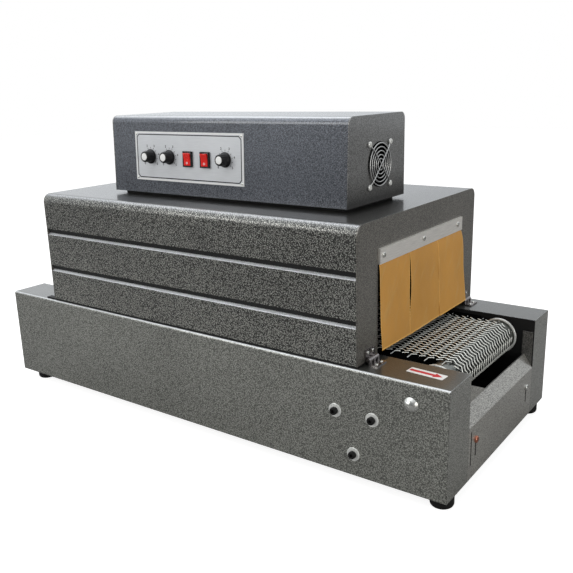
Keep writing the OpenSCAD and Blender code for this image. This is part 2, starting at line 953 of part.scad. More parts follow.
// The wire guard: rings, two crossed wires with legs that bend down to the end plate, and the screws on the legs.
module fan_guard() {
    outer_r = fan_r - guard_in;
    ring_step = (outer_r - wire_r) / (guard_rings + fine_gap);
    ring_z = sheet + guard_h;
    cross_z = ring_z + 1.5 * wire_r;
    reach = guard_pitch / sqrt(2);
    leg = [reach - outer_r, cross_z - sheet - guard_screw_t / 2];
    color(steel)
        on_fan() {
            for (i = [0 : guard_rings - 1])
                translate([0, 0, ring_z])
                    rotate_extrude()
                        translate([outer_r - i * ring_step, 0])
                            circle(wire_r, $fn = 24);
            for (turn = [45, 135])
                rotate([0, 0, turn])
                    translate([-outer_r - wire_r, 0, cross_z])
                        rotate([0, 90, 0])
                            cylinder(r = wire_r, h = 2 * outer_r + 2 * wire_r, $fn = 24);
            for (turn = [45 : 90 : 315])
                rotate([0, 0, turn]) {
                    translate([outer_r, 0, cross_z])
                        rotate([0, 90 + atan2(leg[1], leg[0]), 0])
                            cylinder(r = wire_r, h = norm(leg), $fn = 24);
                    translate([reach, 0, sheet])
                        cylinder(r = guard_screw_r, h = guard_screw_t);
                }
        }
}

base_front_channel();
base_back_channel();
base_bottom_plate();
outfeed_end_cover();
infeed_end_cover();
outfeed_cover_screws();
infeed_cover_screws();
rubber_feet();
outfeed_roller();
infeed_roller();
mesh_belt();
belt_bed();
motor_bolts();
shaft_nuts();
hood_seals();
front_hinge_base_leaf();
back_hinge_base_leaf();
hood_shell();
outfeed_hood_end();
infeed_hood_end();
tunnel_liner();
outfeed_clamp_strip();
infeed_clamp_strip();
front_hinge_hood_leaf();
back_hinge_hood_leaf();
control_box_spacer();
control_box_floor();
control_box_cover();
control_box_fan_end();
control_box_plain_end();
control_panel_plate();
switch_bezels();
fan_frame();
fan_guard();
fan_rotor();
first_knob();
second_knob();
third_knob();
first_rocker();
second_rocker();
outfeed_front_flap();
outfeed_middle_flap();
outfeed_back_flap();
infeed_front_flap();
infeed_middle_flap();
infeed_back_flap();
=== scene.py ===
# %% [markdown]
# # A bench-top heat shrink tunnel
# The machine is a long sheet-metal base with a wire mesh belt, a hinged hood that makes a hot tunnel over the belt,
# cloth curtains at both mouths of the tunnel and a control box on top. Its solids come from a CAD model in metres.
# Most solids keep their shape and only get a finish. What is woven, hung, printed or finely turned is modelled here
# and takes the place of its plain solid, so that nothing of the machine's size or motion changes.

# %% Load the CAD solids
import math

import bmesh
import bpy
from mathutils import Matrix, Quaternion, Vector


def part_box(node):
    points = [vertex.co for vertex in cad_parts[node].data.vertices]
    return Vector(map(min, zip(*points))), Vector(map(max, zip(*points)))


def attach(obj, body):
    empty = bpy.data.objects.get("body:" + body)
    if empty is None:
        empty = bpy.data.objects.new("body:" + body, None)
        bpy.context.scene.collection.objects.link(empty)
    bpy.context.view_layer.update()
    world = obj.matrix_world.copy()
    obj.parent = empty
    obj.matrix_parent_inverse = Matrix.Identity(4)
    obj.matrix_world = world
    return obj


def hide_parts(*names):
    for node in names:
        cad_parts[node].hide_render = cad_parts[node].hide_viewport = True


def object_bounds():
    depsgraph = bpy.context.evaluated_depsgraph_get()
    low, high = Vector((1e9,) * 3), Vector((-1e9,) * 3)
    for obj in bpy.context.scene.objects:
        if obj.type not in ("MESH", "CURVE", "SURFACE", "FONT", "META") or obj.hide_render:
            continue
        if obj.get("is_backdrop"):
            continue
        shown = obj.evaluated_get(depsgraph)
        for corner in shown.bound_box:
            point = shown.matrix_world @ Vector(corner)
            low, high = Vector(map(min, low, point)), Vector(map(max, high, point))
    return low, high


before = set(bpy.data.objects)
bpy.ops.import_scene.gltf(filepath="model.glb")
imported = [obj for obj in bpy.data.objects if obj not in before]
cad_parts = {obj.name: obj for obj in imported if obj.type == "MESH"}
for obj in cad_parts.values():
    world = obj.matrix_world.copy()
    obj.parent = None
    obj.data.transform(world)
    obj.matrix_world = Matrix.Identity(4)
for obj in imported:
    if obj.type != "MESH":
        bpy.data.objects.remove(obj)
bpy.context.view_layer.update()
MM = 0.001

# %% [markdown]
# ## The camera
# The photograph looks at the outfeed end from the front right, a little above the control box. Blender's camera could
# be aimed by eye, but straight edges of the machine give its place, turn and focal length by a least-squares fit, so
# the fitted numbers stand here. The machine leans a little in the photograph, which the camera's roll repeats.

# %% Set up the photograph's camera
photo_side = 573
focal_pixels = 729.8
camera_place = (0.7814, -0.9906, 0.5506)
azimuth, elevation, roll = (math.radians(a) for a in (36.16, 15.53, -1.59))

view_direction = Vector((-math.sin(azimuth) * math.cos(elevation),
                         math.cos(azimuth) * math.cos(elevation),
                         -math.sin(elevation)))
camera_data = bpy.data.cameras.new("photo_camera")
camera_data.lens = focal_pixels * camera_data.sensor_width / photo_side
camera = bpy.data.objects.new("photo_camera", camera_data)
camera.location = camera_place
camera.rotation_mode = "QUATERNION"
camera.rotation_quaternion = view_direction.to_track_quat("-Z", "Y") @ Quaternion((0, 0, 1), roll)
scene = bpy.context.scene
scene.collection.objects.link(camera)
scene.camera = camera
scene.view_settings.view_transform = "Standard"
print(f"lens {camera_data.lens:.2f} mm")

# %% [markdown]
# ## Writing shaders as sums
# A finish is a graph of nodes, and most of them only add, multiply or mix numbers. Wiring each by hand hides the idea,
# so a small class stands for a socket and lets Python's operators add the Math nodes. Another makes any other node
# from its type, its settings and what goes into its sockets.

# %% Sockets that can be added and multiplied
def plug(tree, socket, value):
    """Puts a number, a colour or another socket into a socket."""
    if isinstance(value, Value):
        tree.links.new(value.socket, socket)
    elif socket.type == "RGBA" and len(value) == 3:
        socket.default_value = (*value, 1.0)
    else:
        socket.default_value = value


class Value:
    """A node's output, with arithmetic that adds Math nodes."""

    def __init__(self, tree, socket):
        self.tree, self.socket = tree, socket

    def math(self, operation, first, second):
        node = self.tree.nodes.new("ShaderNodeMath")
        node.operation = operation
        plug(self.tree, node.inputs[0], first)
        plug(self.tree, node.inputs[1], second)
        return Value(self.tree, node.outputs[0])

    def __add__(self, other):
        return self.math("ADD", self, other)

    def __radd__(self, other):
        return self.math("ADD", other, self)

    def __sub__(self, other):
        return self.math("SUBTRACT", self, other)

    def __rsub__(self, other):
        return self.math("SUBTRACT", other, self)

    def __mul__(self, other):
        return self.math("MULTIPLY", self, other)

    def __rmul__(self, other):
        return self.math("MULTIPLY", other, self)

    def __gt__(self, other):
        return self.math("GREATER_THAN", self, other)

    def __lt__(self, other):
        return self.math("LESS_THAN", self, other)

    def highest(self, other):
        return self.math("MAXIMUM", self, other)


class Finish:
    """A node tree being mixed: node() adds any node, and the other methods are the usual few."""

    def __init__(self, block):
        block.use_nodes = True
        self.block, self.tree = block, block.node_tree
        self.tree.nodes.clear()

    def node(self, kind, sockets=None, out=0, **settings):
        made = self.tree.nodes.new(kind)
        for name, value in settings.items():
            setattr(made, name, value)
        for name, value in (sockets or {}).items():
            plug(self.tree, made.inputs[name], value)
        return Value(self.tree, made.outputs[out]) if made.outputs else None

    def place(self):
        return self.node("ShaderNodeTexCoord", out="Object")

    def stretched(self, scale):
        return self.node("ShaderNodeMapping", {"Vector": self.place(), "Scale": scale})

    def noise(self, where, scale, detail=2.0, roughness=0.5, out=0):
        sockets = {"Vector": where, "Scale": scale, "Detail": detail, "Roughness": roughness}
        return self.node("ShaderNodeTexNoise", sockets, out=out)

    def spread(self, value, low, high, to_low=0.0, to_high=1.0):
        sockets = {"Value": value, "From Min": low, "From Max": high, "To Min": to_low, "To Max": to_high}
        return self.node("ShaderNodeMapRange", sockets)

    def mix(self, share, first, second):
        return self.node("ShaderNodeMix", {0: share, 6: first, 7: second}, out=2, data_type="RGBA")

    def bump(self, height, depth, strength=1.0, normal=None):
        sockets = {"Height": height, "Distance": depth, "Strength": strength}
        if normal is not None:
            sockets["Normal"] = normal
        return self.node("ShaderNodeBump", sockets)

    def surface(self, colour, roughness, normal=None, **constants):
        sockets = {"Base Color": colour, "Roughness": roughness}
        sockets.update({name.replace("_", " "): value for name, value in constants.items()})
        if normal is not None:
            sockets["Normal"] = normal
        shader = self.node("ShaderNodeBsdfPrincipled", sockets)
        self.node("ShaderNodeOutputMaterial", {"Surface": shader})
        return self.block


def new_finish(name):
    return Finish(bpy.data.materials.new(name))


print("shader helpers ready")

# %% [markdown]
# ## Floor and light
# The machine stands in a white studio under a large softbox. What glossy paint shows is mostly what it mirrors, so
# reflections see a white backdrop behind the machine and overhead, brighter towards the infeed end, and a darker room
# behind the camera. That makes the tops pale and the fronts dark, as they are in the photograph. Other rays get a
# weak even light from the world, and the camera sees plain white. The floor adds light of its own for the camera's
# rays alone, so that it looks white and still shows the machine's shadow.

# %% White surroundings
surroundings = Finish(bpy.data.worlds.new("studio"))
scene.world = surroundings.block
room_light = 0.45
room_shine, backdrop_shine = 0.25, 0.95
infeed_gain, outfeed_gain = 1.25, 0.88
full_white, cool_white = (1.0, 1.0, 1.0), (0.93, 0.965, 1.0)
to_backdrop = (-math.sin(azimuth), math.cos(azimuth), 0.0)
look = surroundings.place()
backwards = surroundings.node("ShaderNodeVectorMath", {0: look, 1: to_backdrop}, out="Value", operation="DOT_PRODUCT")
outfeedwards, upwards = (surroundings.node("ShaderNodeSeparateXYZ", {"Vector": look}, out=axis) for axis in "XZ")
mirrored = surroundings.spread(backwards, -0.4, 0.3, room_shine, backdrop_shine)
mirrored = mirrored.highest(surroundings.spread(upwards, 0.3, 0.8))
mirrored = mirrored * surroundings.spread(outfeedwards, -0.85, -0.3, infeed_gain, outfeed_gain)
by_camera = surroundings.node("ShaderNodeLightPath", out="Is Camera Ray")
by_gloss = surroundings.node("ShaderNodeLightPath", out="Is Glossy Ray")
strength = by_camera + by_gloss * mirrored + (1.0 - by_camera - by_gloss) * room_light
tint = surroundings.mix(by_gloss, full_white, cool_white)
backdrop = surroundings.node("ShaderNodeBackground", {"Color": tint, "Strength": strength})
surroundings.node("ShaderNodeOutputWorld", {"Surface": backdrop})

floor_finish = new_finish("pale_floor")
plain = floor_finish.node("ShaderNodeBsdfDiffuse", {"Color": (0.30, 0.30, 0.30)})
shaded = floor_finish.node("ShaderNodeBsdfDiffuse", {"Color": (0.5, 0.5, 0.5)})
glow = floor_finish.node("ShaderNodeEmission", {"Color": full_white, "Strength": 0.85})
white = floor_finish.node("ShaderNodeAddShader", {0: shaded, 1: glow})
by_camera = floor_finish.node("ShaderNodeLightPath", out="Is Camera Ray")
seen = floor_finish.node("ShaderNodeMixShader", {0: by_camera, 1: plain, 2: white})
floor_finish.node("ShaderNodeOutputMaterial", {"Surface": seen})

floor_size = 14.0
floor_mesh = bpy.data.meshes.new("floor")
floor_bm = bmesh.new()
bmesh.ops.create_grid(floor_bm, x_segments=1, y_segments=1, size=floor_size / 2)
floor_bm.to_mesh(floor_mesh)
floor_bm.free()
floor_mesh.materials.append(floor_finish.block)
floor = bpy.data.objects.new("floor", floor_mesh)
scene.collection.objects.link(floor)
floor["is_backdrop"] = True
print("floor", floor_size, "m wide")

# %% Softboxes
def softbox(name, place, aim, width, length, watts, tint):
    """A rectangular lamp that faces a point."""
    data = bpy.data.lights.new(name, "AREA")
    data.shape, data.size, data.size_y, data.energy, data.color = "RECTANGLE", width, length, watts, tint
    lamp = bpy.data.objects.new(name, data)
    lamp.location = place
    lamp.rotation_mode = "QUATERNION"
    lamp.rotation_quaternion = (Vector(aim) - Vector(place)).to_track_quat("-Z", "Y")
    scene.collection.objects.link(lamp)
    print(name, watts, "W")


softbox("overhead_softbox", (-0.7, 0.0, 2.3), (0.0, 0.0, 0.3), 3.4, 2.4, 42.0, (0.95, 0.975, 1.0))
softbox("front_softbox", (-1.3, -2.4, 1.3), (0.0, 0.0, 0.25), 1.6, 1.2, 24.0, (1.0, 1.0, 0.97))
softbox("outfeed_softbox", (2.5, -0.8, 0.7), (0.45, 0.0, 0.1), 1.2, 1.0, 15.0, (1.0, 0.98, 0.94))

# %% [markdown]
# ## From a bmesh to a piece
# Every new piece goes the same way: a bmesh is shaped with operators, turned into a mesh with its faces pointing
# outwards and its sharp edges marked, given its finishes, and told which body of the machine it rides on. Small parts
# that repeat, such as screw heads, are shaped once at the origin and stamped at their places.

# %% Helpers that make pieces
def stamp(target, source, place):
    """Adds a copy of one bmesh to another, at a place."""
    mesh = bpy.data.meshes.new("stamp")
    source.to_mesh(mesh)
    mesh.transform(place)
    target.from_mesh(mesh)
    bpy.data.meshes.remove(mesh)


def make_piece(bm, name, body, *finishes, slot=None, smooth=35.0, turn_out=True):
    """Turns a bmesh into a piece that rides on a body."""
    if turn_out:
        bmesh.ops.recalc_face_normals(bm, faces=bm.faces[:])
    mesh = bpy.data.meshes.new(name)
    bm.to_mesh(mesh)
    bm.free()
    for finish in finishes:
        mesh.materials.append(finish)
    mesh.shade_smooth()
    mesh.set_sharp_from_angle(angle=math.radians(smooth))
    piece = bpy.data.objects.new(name, mesh)
    scene.collection.objects.link(piece)
    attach(piece, body)
    print(f"{name}: {len(mesh.polygons)} faces on {body}")
    return piece


def dress(finish, *nodes):
    """Gives CAD nodes a finish."""
    for name in nodes:
        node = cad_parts[name]
        for slot in node.material_slots:
            slot.material = finish
    print(finish.name, "on", len(nodes), "nodes")


def facing(place, direction, spin=0.0):
    """A matrix that puts a shape made along +Z at a place, pointing in a direction."""
    turned = Vector(direction).to_track_quat("Z", "Y").to_matrix().to_4x4()
    return Matrix.Translation(place) @ turned @ Matrix.Rotation(spin, 4, "Z")


print("piece helpers ready")

# %% [markdown]
# ## Hammered paint
# The sheet metal is sprayed with hammer-effect paint: aluminium flakes gather into small cells while it dries, so the
# surface has shallow dimples with pale middles and dark rims. A noise alone looks like dirt, so the cells come from a
# smooth Voronoi pattern that a noise bends out of shape. The sheet edges are folded and not knife sharp, which the
# Bevel node shows without changing the CAD mesh. Its rounded normal also tells where a surface faces, and light and
# shade are painted by it: folds and slopes that look up get a painted highlight, tops are painted darker with fewer
# flecks, and the roofs of the pressed grooves, faces that look diagonally between front and end and the walls beside
# the belt get painted shade in black. Painted shade also darkens the lower part of the end sheets, and a painted
# gradient of light makes the hood's sides paler low down and darker higher up.

# %% Mix the hammered paint
# Walls nearer the middle than wall_y stand beside the belt. The hood's upper edges and the control box lie over
# shelf_z.
wall_y, shelf_z, fold_r = 133 * MM, 340 * MM, 1.2 * MM
# The colours of the painted highlight and of the painted shade.
highlight_tone, shade_tone = (0.93, 0.95, 0.98), (0.002, 0.002, 0.002)


def hammer_paint(name, dark, pale, cell=1.9 * MM, contrast=1.0, dent=0.30 * MM, gloss=0.36, metal=0.6, shine=1.0,
                 wall_shade=0.0, low_shade=None, dust_or_low_light=(0.0, 1.0, 0.0)):
    """Grey hammer-effect paint. Its last three arguments paint light and shade: the first blackens the walls beside
    the belt as painted shade, and the other two are each two heights and an amount; the one paints shade towards the
    lower height, and the other paints the paint paler there and darker towards the upper height, as painted light."""
    f = new_finish(name)
    where = f.place()
    drift = f.noise(where, 0.5 / cell, detail=2.0, out="Color")
    bent = f.node("ShaderNodeVectorMath", {0: drift, 1: (cell, cell, cell), 2: where}, operation="MULTIPLY_ADD")
    cells = f.node("ShaderNodeTexVoronoi", {"Vector": bent, "Scale": 1.0 / cell, "Smoothness": 0.3},
                   feature="SMOOTH_F1")
    flakes = f.noise(where, 1.9 / cell, detail=1.0, roughness=0.6)
    clouds = f.noise(where, 6.0, detail=3.0)
    relief = f.spread(cells, 0.05, 0.65, 1.0, 0.0)
    rounded = f.node("ShaderNodeBevel", {"Radius": fold_r}, samples=4)
    turned = f.node("ShaderNodeVectorTransform", {"Vector": rounded}, vector_type="NORMAL", convert_from="WORLD",
                    convert_to="OBJECT")
    along, sideways, up = (f.node("ShaderNodeSeparateXYZ", {"Vector": turned}, out=axis) for axis in "XYZ")
    across, height = (f.node("ShaderNodeSeparateXYZ", {"Vector": where}, out=axis) for axis in "YZ")
    # Faces that look up are painted darker and with fewer flecks, as painted shade on the tops.
    level = f.spread(up, 0.6, 0.98)
    # A painted highlight on folds and slopes that look up, none on flat tops, stronger below shelf_z.
    painted_highlight = f.spread(up - (height > shelf_z) * 0.18, 0.5, 0.7) * f.spread(up, 0.985, 0.93, 0.0, shine)
    # Painted shade in black on faces that look down, on the walls beside the belt and on faces that look diagonally
    # between front and end.
    beside_belt = (sideways * sideways > 0.5) * (across * across < wall_y * wall_y)
    shadow = f.spread(up, -0.06, -0.22).highest(beside_belt * wall_shade)
    shadow = shadow.highest(f.spread(along * along * sideways * sideways, 0.05, 0.22, 0.0, 0.8))
    # Painted shade towards the lower height, where asked.
    if low_shade:
        shadow = shadow.highest(f.spread(height, *low_shade, 0.0))
    sparkle = relief * 0.55 + flakes * 1.1 - 0.85
    even = level.highest(along * along * 0.3) * 0.75
    # Painted light: paler towards the lower height and darker towards the upper one, where asked.
    painted_height_light = f.spread(height, dust_or_low_light[0], dust_or_low_light[1], dust_or_low_light[2], -dust_or_low_light[2])
    share = f.spread(sparkle * (1.0 - even) * contrast + clouds * 0.2 + painted_height_light + 0.4, 0.0, 1.0)
    # The tops' painted shade first, then the painted highlight and the black painted shade are laid on the flecked
    # colour.
    colour = f.mix(level * 0.8, f.mix(share, dark, pale), tuple(0.5 * c for c in dark))
    colour = f.mix(painted_highlight * (share * 0.5 + (height < shelf_z) * 0.6 + 0.15), colour, highlight_tone)
    colour = f.mix(shadow, colour, shade_tone)
    roughness = f.spread(flakes * 0.6 + clouds * 0.4, 0.3, 0.7, gloss - 0.05, gloss + 0.08) + shadow * 0.5
    normal = f.bump(relief * 0.8 + flakes * 0.2, dent, strength=0.8, normal=rounded)
    bare = 1.0 - shadow
    return f.surface(colour, roughness, normal, Metallic=bare * metal, Coat_Weight=bare * 0.7, Coat_Roughness=0.12)


print("hammered paint ready, its folds rounded by", fold_r / MM, "mm")

# %% Spray the sheet metal
# The base, the ends and the end covers take copies of one grey at different tones, as painted light and shade: the
# base's is paler than the hood's, the end sheets' darker, and the end covers' paler still. The base and the covers get
# painted shade on the walls beside the belt, the end sheets and the box ends painted shade low down, and the hood a
# painted gradient of light.
side_paint = hammer_paint("hammered_grey", (0.062, 0.063, 0.056), (0.655, 0.66, 0.605), contrast=1.3, dent=0.25 * MM,
                          shine=0.5, wall_shade=1.0)
hood_paint = hammer_paint("hammered_grey_hood", (0.018, 0.018, 0.017), (0.54, 0.54, 0.495), contrast=2.5,
                          dust_or_low_light=(200 * MM, 350 * MM, 0.09))
end_paint = hammer_paint("hammered_grey_ends", (0.050, 0.047, 0.042), (0.40, 0.38, 0.335), contrast=1.3,
                         dent=0.16 * MM, shine=0.15, low_shade=(185 * MM, 260 * MM, 0.35))
cover_paint = hammer_paint("hammered_grey_covers", (0.105, 0.102, 0.094), (0.86, 0.84, 0.77), contrast=1.3,
                           dent=0.2 * MM, shine=0.08, wall_shade=0.75)
box_paint = hammer_paint("hammered_blue_grey", (0.022, 0.024, 0.030), (0.20, 0.215, 0.25), contrast=1.0,
                         dent=0.2 * MM)
box_end_paint = hammer_paint("hammered_grey_box_ends", (0.066, 0.066, 0.065), (0.44, 0.44, 0.43), contrast=1.2,
                             dent=0.15 * MM, shine=0.15, low_shade=(384 * MM, 424 * MM, 0.85))
dress(side_paint, "base_front_channel", "base_back_channel")
dress(hood_paint, "hood_shell")
dress(end_paint, "outfeed_hood_end", "infeed_hood_end", "base_bottom_plate")
dress(box_end_paint, "control_box_fan_end", "control_box_plain_end")
dress(cover_paint, "outfeed_end_cover", "infeed_end_cover")
dress(box_paint, "control_box_cover")

# %% [markdown]
# ## Metals
# Bare metal is never one even tone: rolling, turning or drawing leaves fine lines along one direction. One recipe
# covers them all. It stretches a noise along the working direction and lets it move the colour and the roughness a
# little, and each metal has its own tone, direction and gloss.

# %% Mix the metals
def worked_metal(name, tone, lines, gloss, scatter=0.12, scratch=0.02 * MM, stain=0.0, bare=1.0):
    """Metal with fine lines; lines gives how tightly they are packed along X, Y and Z, bare how free of film it is."""
    f = new_finish(name)
    strokes = f.noise(f.stretched(lines), 1.0, detail=4.0, roughness=0.6)
    patches = f.noise(f.place(), 45.0, detail=3.0)
    dull = f.spread(patches, 0.45, 0.75, 0.0, stain)
    bright = f.mix(f.spread(strokes, 0.3, 0.7), tuple(0.78 * c for c in tone), tone)
    colour = f.mix(dull, bright, tuple(0.35 * c for c in tone))
    roughness = f.spread(strokes * 0.6 + patches * 0.4, 0.3, 0.7, gloss - scatter / 2, gloss + scatter / 2)
    return f.surface(colour, roughness, f.bump(strokes, scratch, strength=0.6), Metallic=bare)


zinc_steel = worked_metal("zinc_steel", (0.78, 0.78, 0.74), (300, 300, 300), 0.26)
copper_steel = worked_metal("copper_steel", (0.66, 0.26, 0.17), (300, 300, 300), 0.32)
roller_steel = worked_metal("roller_steel", (0.30, 0.31, 0.29), (900, 60, 900), 0.38, stain=0.3)
belt_wire = worked_metal("belt_wire", (0.97, 0.99, 0.93), (400, 150, 400), 0.42, stain=0.15, bare=0.5)
rod_steel = worked_metal("rod_steel", (0.80, 0.81, 0.78), (300, 900, 300), 0.45)
chrome_wire = worked_metal("chrome_wire", (0.70, 0.70, 0.69), (200, 200, 200), 0.40, scatter=0.06)
bright_zinc = worked_metal("bright_zinc", (0.95, 0.96, 0.93), (300, 300, 300), 0.30, bare=0.35)
strip_aluminium = worked_metal("strip_aluminium", (0.95, 0.92, 0.87), (1500, 40, 1500), 0.44, bare=0.65)
hinge_steel = worked_metal("hinge_steel", (0.42, 0.39, 0.385), (350, 350, 350), 0.28, stain=0.8)
dress(zinc_steel, "outfeed_cover_screws", "infeed_cover_screws", "shaft_nuts")
dress(roller_steel, "outfeed_roller", "infeed_roller")
dress(belt_wire, "mesh_belt")
dress(chrome_wire, "fan_guard")
dress(strip_aluminium, "outfeed_clamp_strip", "infeed_clamp_strip")
dress(hinge_steel, "front_hinge_base_leaf", "back_hinge_base_leaf", "front_hinge_hood_leaf", "back_hinge_hood_leaf")

# %% [markdown]
# ## Plastics, rubber and the black inside
# Moulded plastic has a fine grain and rubbed patches, rubber is duller and dusty, and the sheet metal inside the
# tunnel is painted matt black. They share one recipe: a dark tone, a grain that dents the surface and a soft pattern
# that changes the gloss. The same recipe makes the blacks that stand for painted shade in the belt and on its bed.

# %% Mix the dark finishes
def moulded(name, tone, gloss, grain=900.0, depth=0.03 * MM, dust_or_low_light=(0.08, 0.08, 0.08), dusty=0.15, **constants):
    """Plastic, rubber or matt paint with a fine grain and some dust."""
    f = new_finish(name)
    pebbles = f.noise(f.place(), grain, detail=2.0)
    patches = f.noise(f.place(), 38.0, detail=4.0, roughness=0.6)
    colour = f.mix(f.spread(patches, 0.45, 0.8, 0.0, dusty), tone, dust_or_low_light)
    roughness = f.spread(patches * 0.5 + pebbles * 0.5, 0.3, 0.7, gloss - 0.06, gloss + 0.08)
    return f.surface(colour, roughness, f.bump(pebbles, depth, strength=0.5), **constants)


black_plastic = moulded("black_plastic", (0.004, 0.004, 0.005), 0.36, dust_or_low_light=(0.03, 0.03, 0.03),
                        Specular_IOR_Level=0.35)
black_oxide = moulded("black_oxide", (0.006, 0.006, 0.006), 0.46, dust_or_low_light=(0.03, 0.03, 0.03), Specular_IOR_Level=0.3)
black_rubber = moulded("black_rubber", (0.006, 0.006, 0.006), 0.58, grain=500.0, dust_or_low_light=(0.03, 0.03, 0.03),
                       Specular_IOR_Level=0.3)
# Black for the belt's low wire faces, those that don't look up and the rods within the belt: painted shade.
belt_painted_shade = moulded("belt_painted_shade", (0.012, 0.012, 0.011), 0.7, Specular_IOR_Level=0.15)
# A black without any gloss on the belt bed: painted shade under the belt.
bed_painted_shade = moulded("bed_painted_shade", (0.003, 0.003, 0.003), 0.8, dusty=0.0, Specular_IOR_Level=0.0)
black_inside = moulded("black_inside", (0.008, 0.008, 0.008), 0.62, grain=300.0, Specular_IOR_Level=0.3)
red_plastic = moulded("red_plastic", (0.80, 0.010, 0.006), 0.24, grain=1500.0, depth=0.005 * MM,
                      dust_or_low_light=(0.90, 0.03, 0.015), dusty=0.5)
white_plastic = moulded("white_plastic", (0.92, 0.92, 0.91), 0.35, grain=1500.0, dust_or_low_light=(0.74, 0.74, 0.73))
dress(black_plastic, "switch_bezels", "fan_frame", "fan_rotor", "first_knob", "second_knob", "third_knob")
dress(black_rubber, "rubber_feet", "hood_seals")
dress(bed_painted_shade, "belt_bed")
dress(black_inside, "tunnel_liner", "control_box_spacer", "control_box_floor")
dress(red_plastic, "first_rocker", "second_rocker")
dress(zinc_steel, "motor_bolts")

# %% Silver panel sheet
def silver_sheet(name):
    """Anodised sheet with a fine grain along the panel."""
    f = new_finish(name)
    grain = f.noise(f.stretched((60, 900, 1400)), 1.0, detail=3.0)
    patches = f.noise(f.place(), 30.0, detail=2.0)
    colour = f.mix(f.spread(grain * 0.7 + patches * 0.3, 0.3, 0.7), (0.56, 0.575, 0.60), (0.66, 0.675, 0.70))
    roughness = f.spread(grain, 0.3, 0.7, 0.36, 0.48)
    return f.surface(colour, roughness, f.bump(grain, 0.01 * MM, strength=0.4), Metallic=0.25)


panel_silver = silver_sheet("panel_silver")
dress(panel_silver, "control_panel_plate")

# %% Tan curtain cloth
ends = {"outfeed": 1, "infeed": -1}  # which way is outwards along X
weave_scale = 900


def coated_cloth(name, tone):
    """Heat-proof coated cloth: a fine weave under a tan coating that is paler where it was folded."""
    f = new_finish(name)
    threads, picks = (f.node("ShaderNodeTexWave", {"Vector": f.stretched(packed), "Scale": 1.0, "Distortion": 0.6},
                             wave_type="BANDS", bands_direction=axis)
                      for axis, packed in (("Y", (1, weave_scale, 1)), ("Z", (1, 1, weave_scale))))
    weave = threads * 0.5 + picks * 0.5
    patches = f.noise(f.stretched((20, 14, 8)), 1.0, detail=4.0)
    slanted = f.node("ShaderNodeMapping", {"Vector": f.place(), "Rotation": (0.6, 0.0, 0.0)})
    drawn = f.node("ShaderNodeMapping", {"Vector": slanted, "Scale": (20, 70, 14)})
    creases = f.spread(f.noise(drawn, 1.0, detail=3.0, roughness=0.6), 0.54, 0.74)
    tan = f.mix(f.spread(patches, 0.3, 0.7), tone, tuple(1.2 * c for c in tone))
    worn = f.mix(creases * 0.8, tan, tuple(c ** 0.8 for c in tone))
    colour = f.mix(weave * 0.22, worn, tuple(0.8 * c for c in tone))
    roughness = f.spread(patches, 0.3, 0.7, 0.5, 0.62) - creases * 0.1
    height = weave * 0.05 + creases
    return f.surface(colour, roughness, f.bump(height, 1.0 * MM, strength=0.5), Specular_IOR_Level=0.3)


tan_cloth = coated_cloth("tan_cloth", (0.59, 0.300, 0.070))
cut_edge = coated_cloth("cut_edge", (0.80, 0.45, 0.12))
dress(tan_cloth, *[f"{end}_{place}_flap" for end in ends for place in ("front", "middle", "back")])

# %% [markdown]
# ## The mesh belt
# The belt is woven from flattened wire spirals. Each spiral lies across the belt and hooks into the next one, and
# neighbouring spirals are wound in opposite directions and half a coil apart, so that their upper strands line up in
# zigzag ribs along the belt. Every fourth row runs over a cross rod. A curve with a round section could follow the
# spiral too, but bending the wire as a machine does shows how it works: a ring of vertices is drawn straight across,
# spun half a turn round the next rod, drawn back and spun round the first rod again. Only the wire's upper faces on
# the running surface keep the bright finish; the wire's faces that don't look up, what lies below the running surface
# and the rods within the belt get a black finish as painted shade.

# %% Measure the belt's loop
belt_low, belt_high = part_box("mesh_belt")
belt_t = 3.0 * MM
row_pitch, coil_pitch = 6.6 * MM, 9.1 * MM
loop_r = (belt_high.z - belt_low.z - belt_t) / 2
axle_x = belt_high.x - loop_r - belt_t / 2
axle_z = (belt_low.z + belt_high.z) / 2
loop_l = 4 * axle_x + 2 * math.pi * loop_r
rows_per_rod = 4
rows = rows_per_rod * round(loop_l / row_pitch / rows_per_rod)
row_l = loop_l / rows
belt_w = belt_high.y - belt_low.y
coils = round(belt_w / coil_pitch)
coil_w = belt_w / coils
print(f"{rows} rows of {row_l / MM:.2f} mm, {coils} coils of {coil_w / MM:.2f} mm")


def on_belt(distance):
    """The place at a distance along the loop: X in the running direction, Z away from the inside."""
    straight, bend = 2 * axle_x, math.pi * loop_r
    distance %= loop_l
    if distance < straight:
        return Matrix.Translation((distance - axle_x, 0, axle_z + loop_r))
    if distance < straight + bend:
        turn, x = (distance - straight) / loop_r, axle_x
    elif distance < 2 * straight + bend:
        back = distance - straight - bend
        return Matrix.Translation((axle_x - back, 0, axle_z - loop_r)) @ Matrix.Rotation(math.pi, 4, "Y")
    else:
        turn, x = math.pi + (distance - 2 * straight - bend) / loop_r, -axle_x
    return Matrix.Translation((x, 0, axle_z)) @ Matrix.Rotation(turn, 4, "Y") @ Matrix.Translation((0, 0, loop_r))


# %% Wind one row of wire
wire_wide, wire_thick = 1.05 * MM, 0.7 * MM
lift = belt_t / 2 - wire_thick
# Wire faces below this height get the black second finish as painted shade.
shade_below = 0.5 * MM


def only_verts(geom):
    return [item for item in geom if isinstance(item, bmesh.types.BMVert)]


def ring_edges(bm, ring):
    return [e for e in bm.edges if all(v in ring for v in e.verts)]


def draw_wire(bm, ring, step):
    """Draws the wire's open end along a straight step."""
    drawn = bmesh.ops.extrude_edge_only(bm, edges=ring_edges(bm, ring))
    ring = only_verts(drawn["geom"])
    bmesh.ops.translate(bm, vec=step, verts=ring)
    return ring


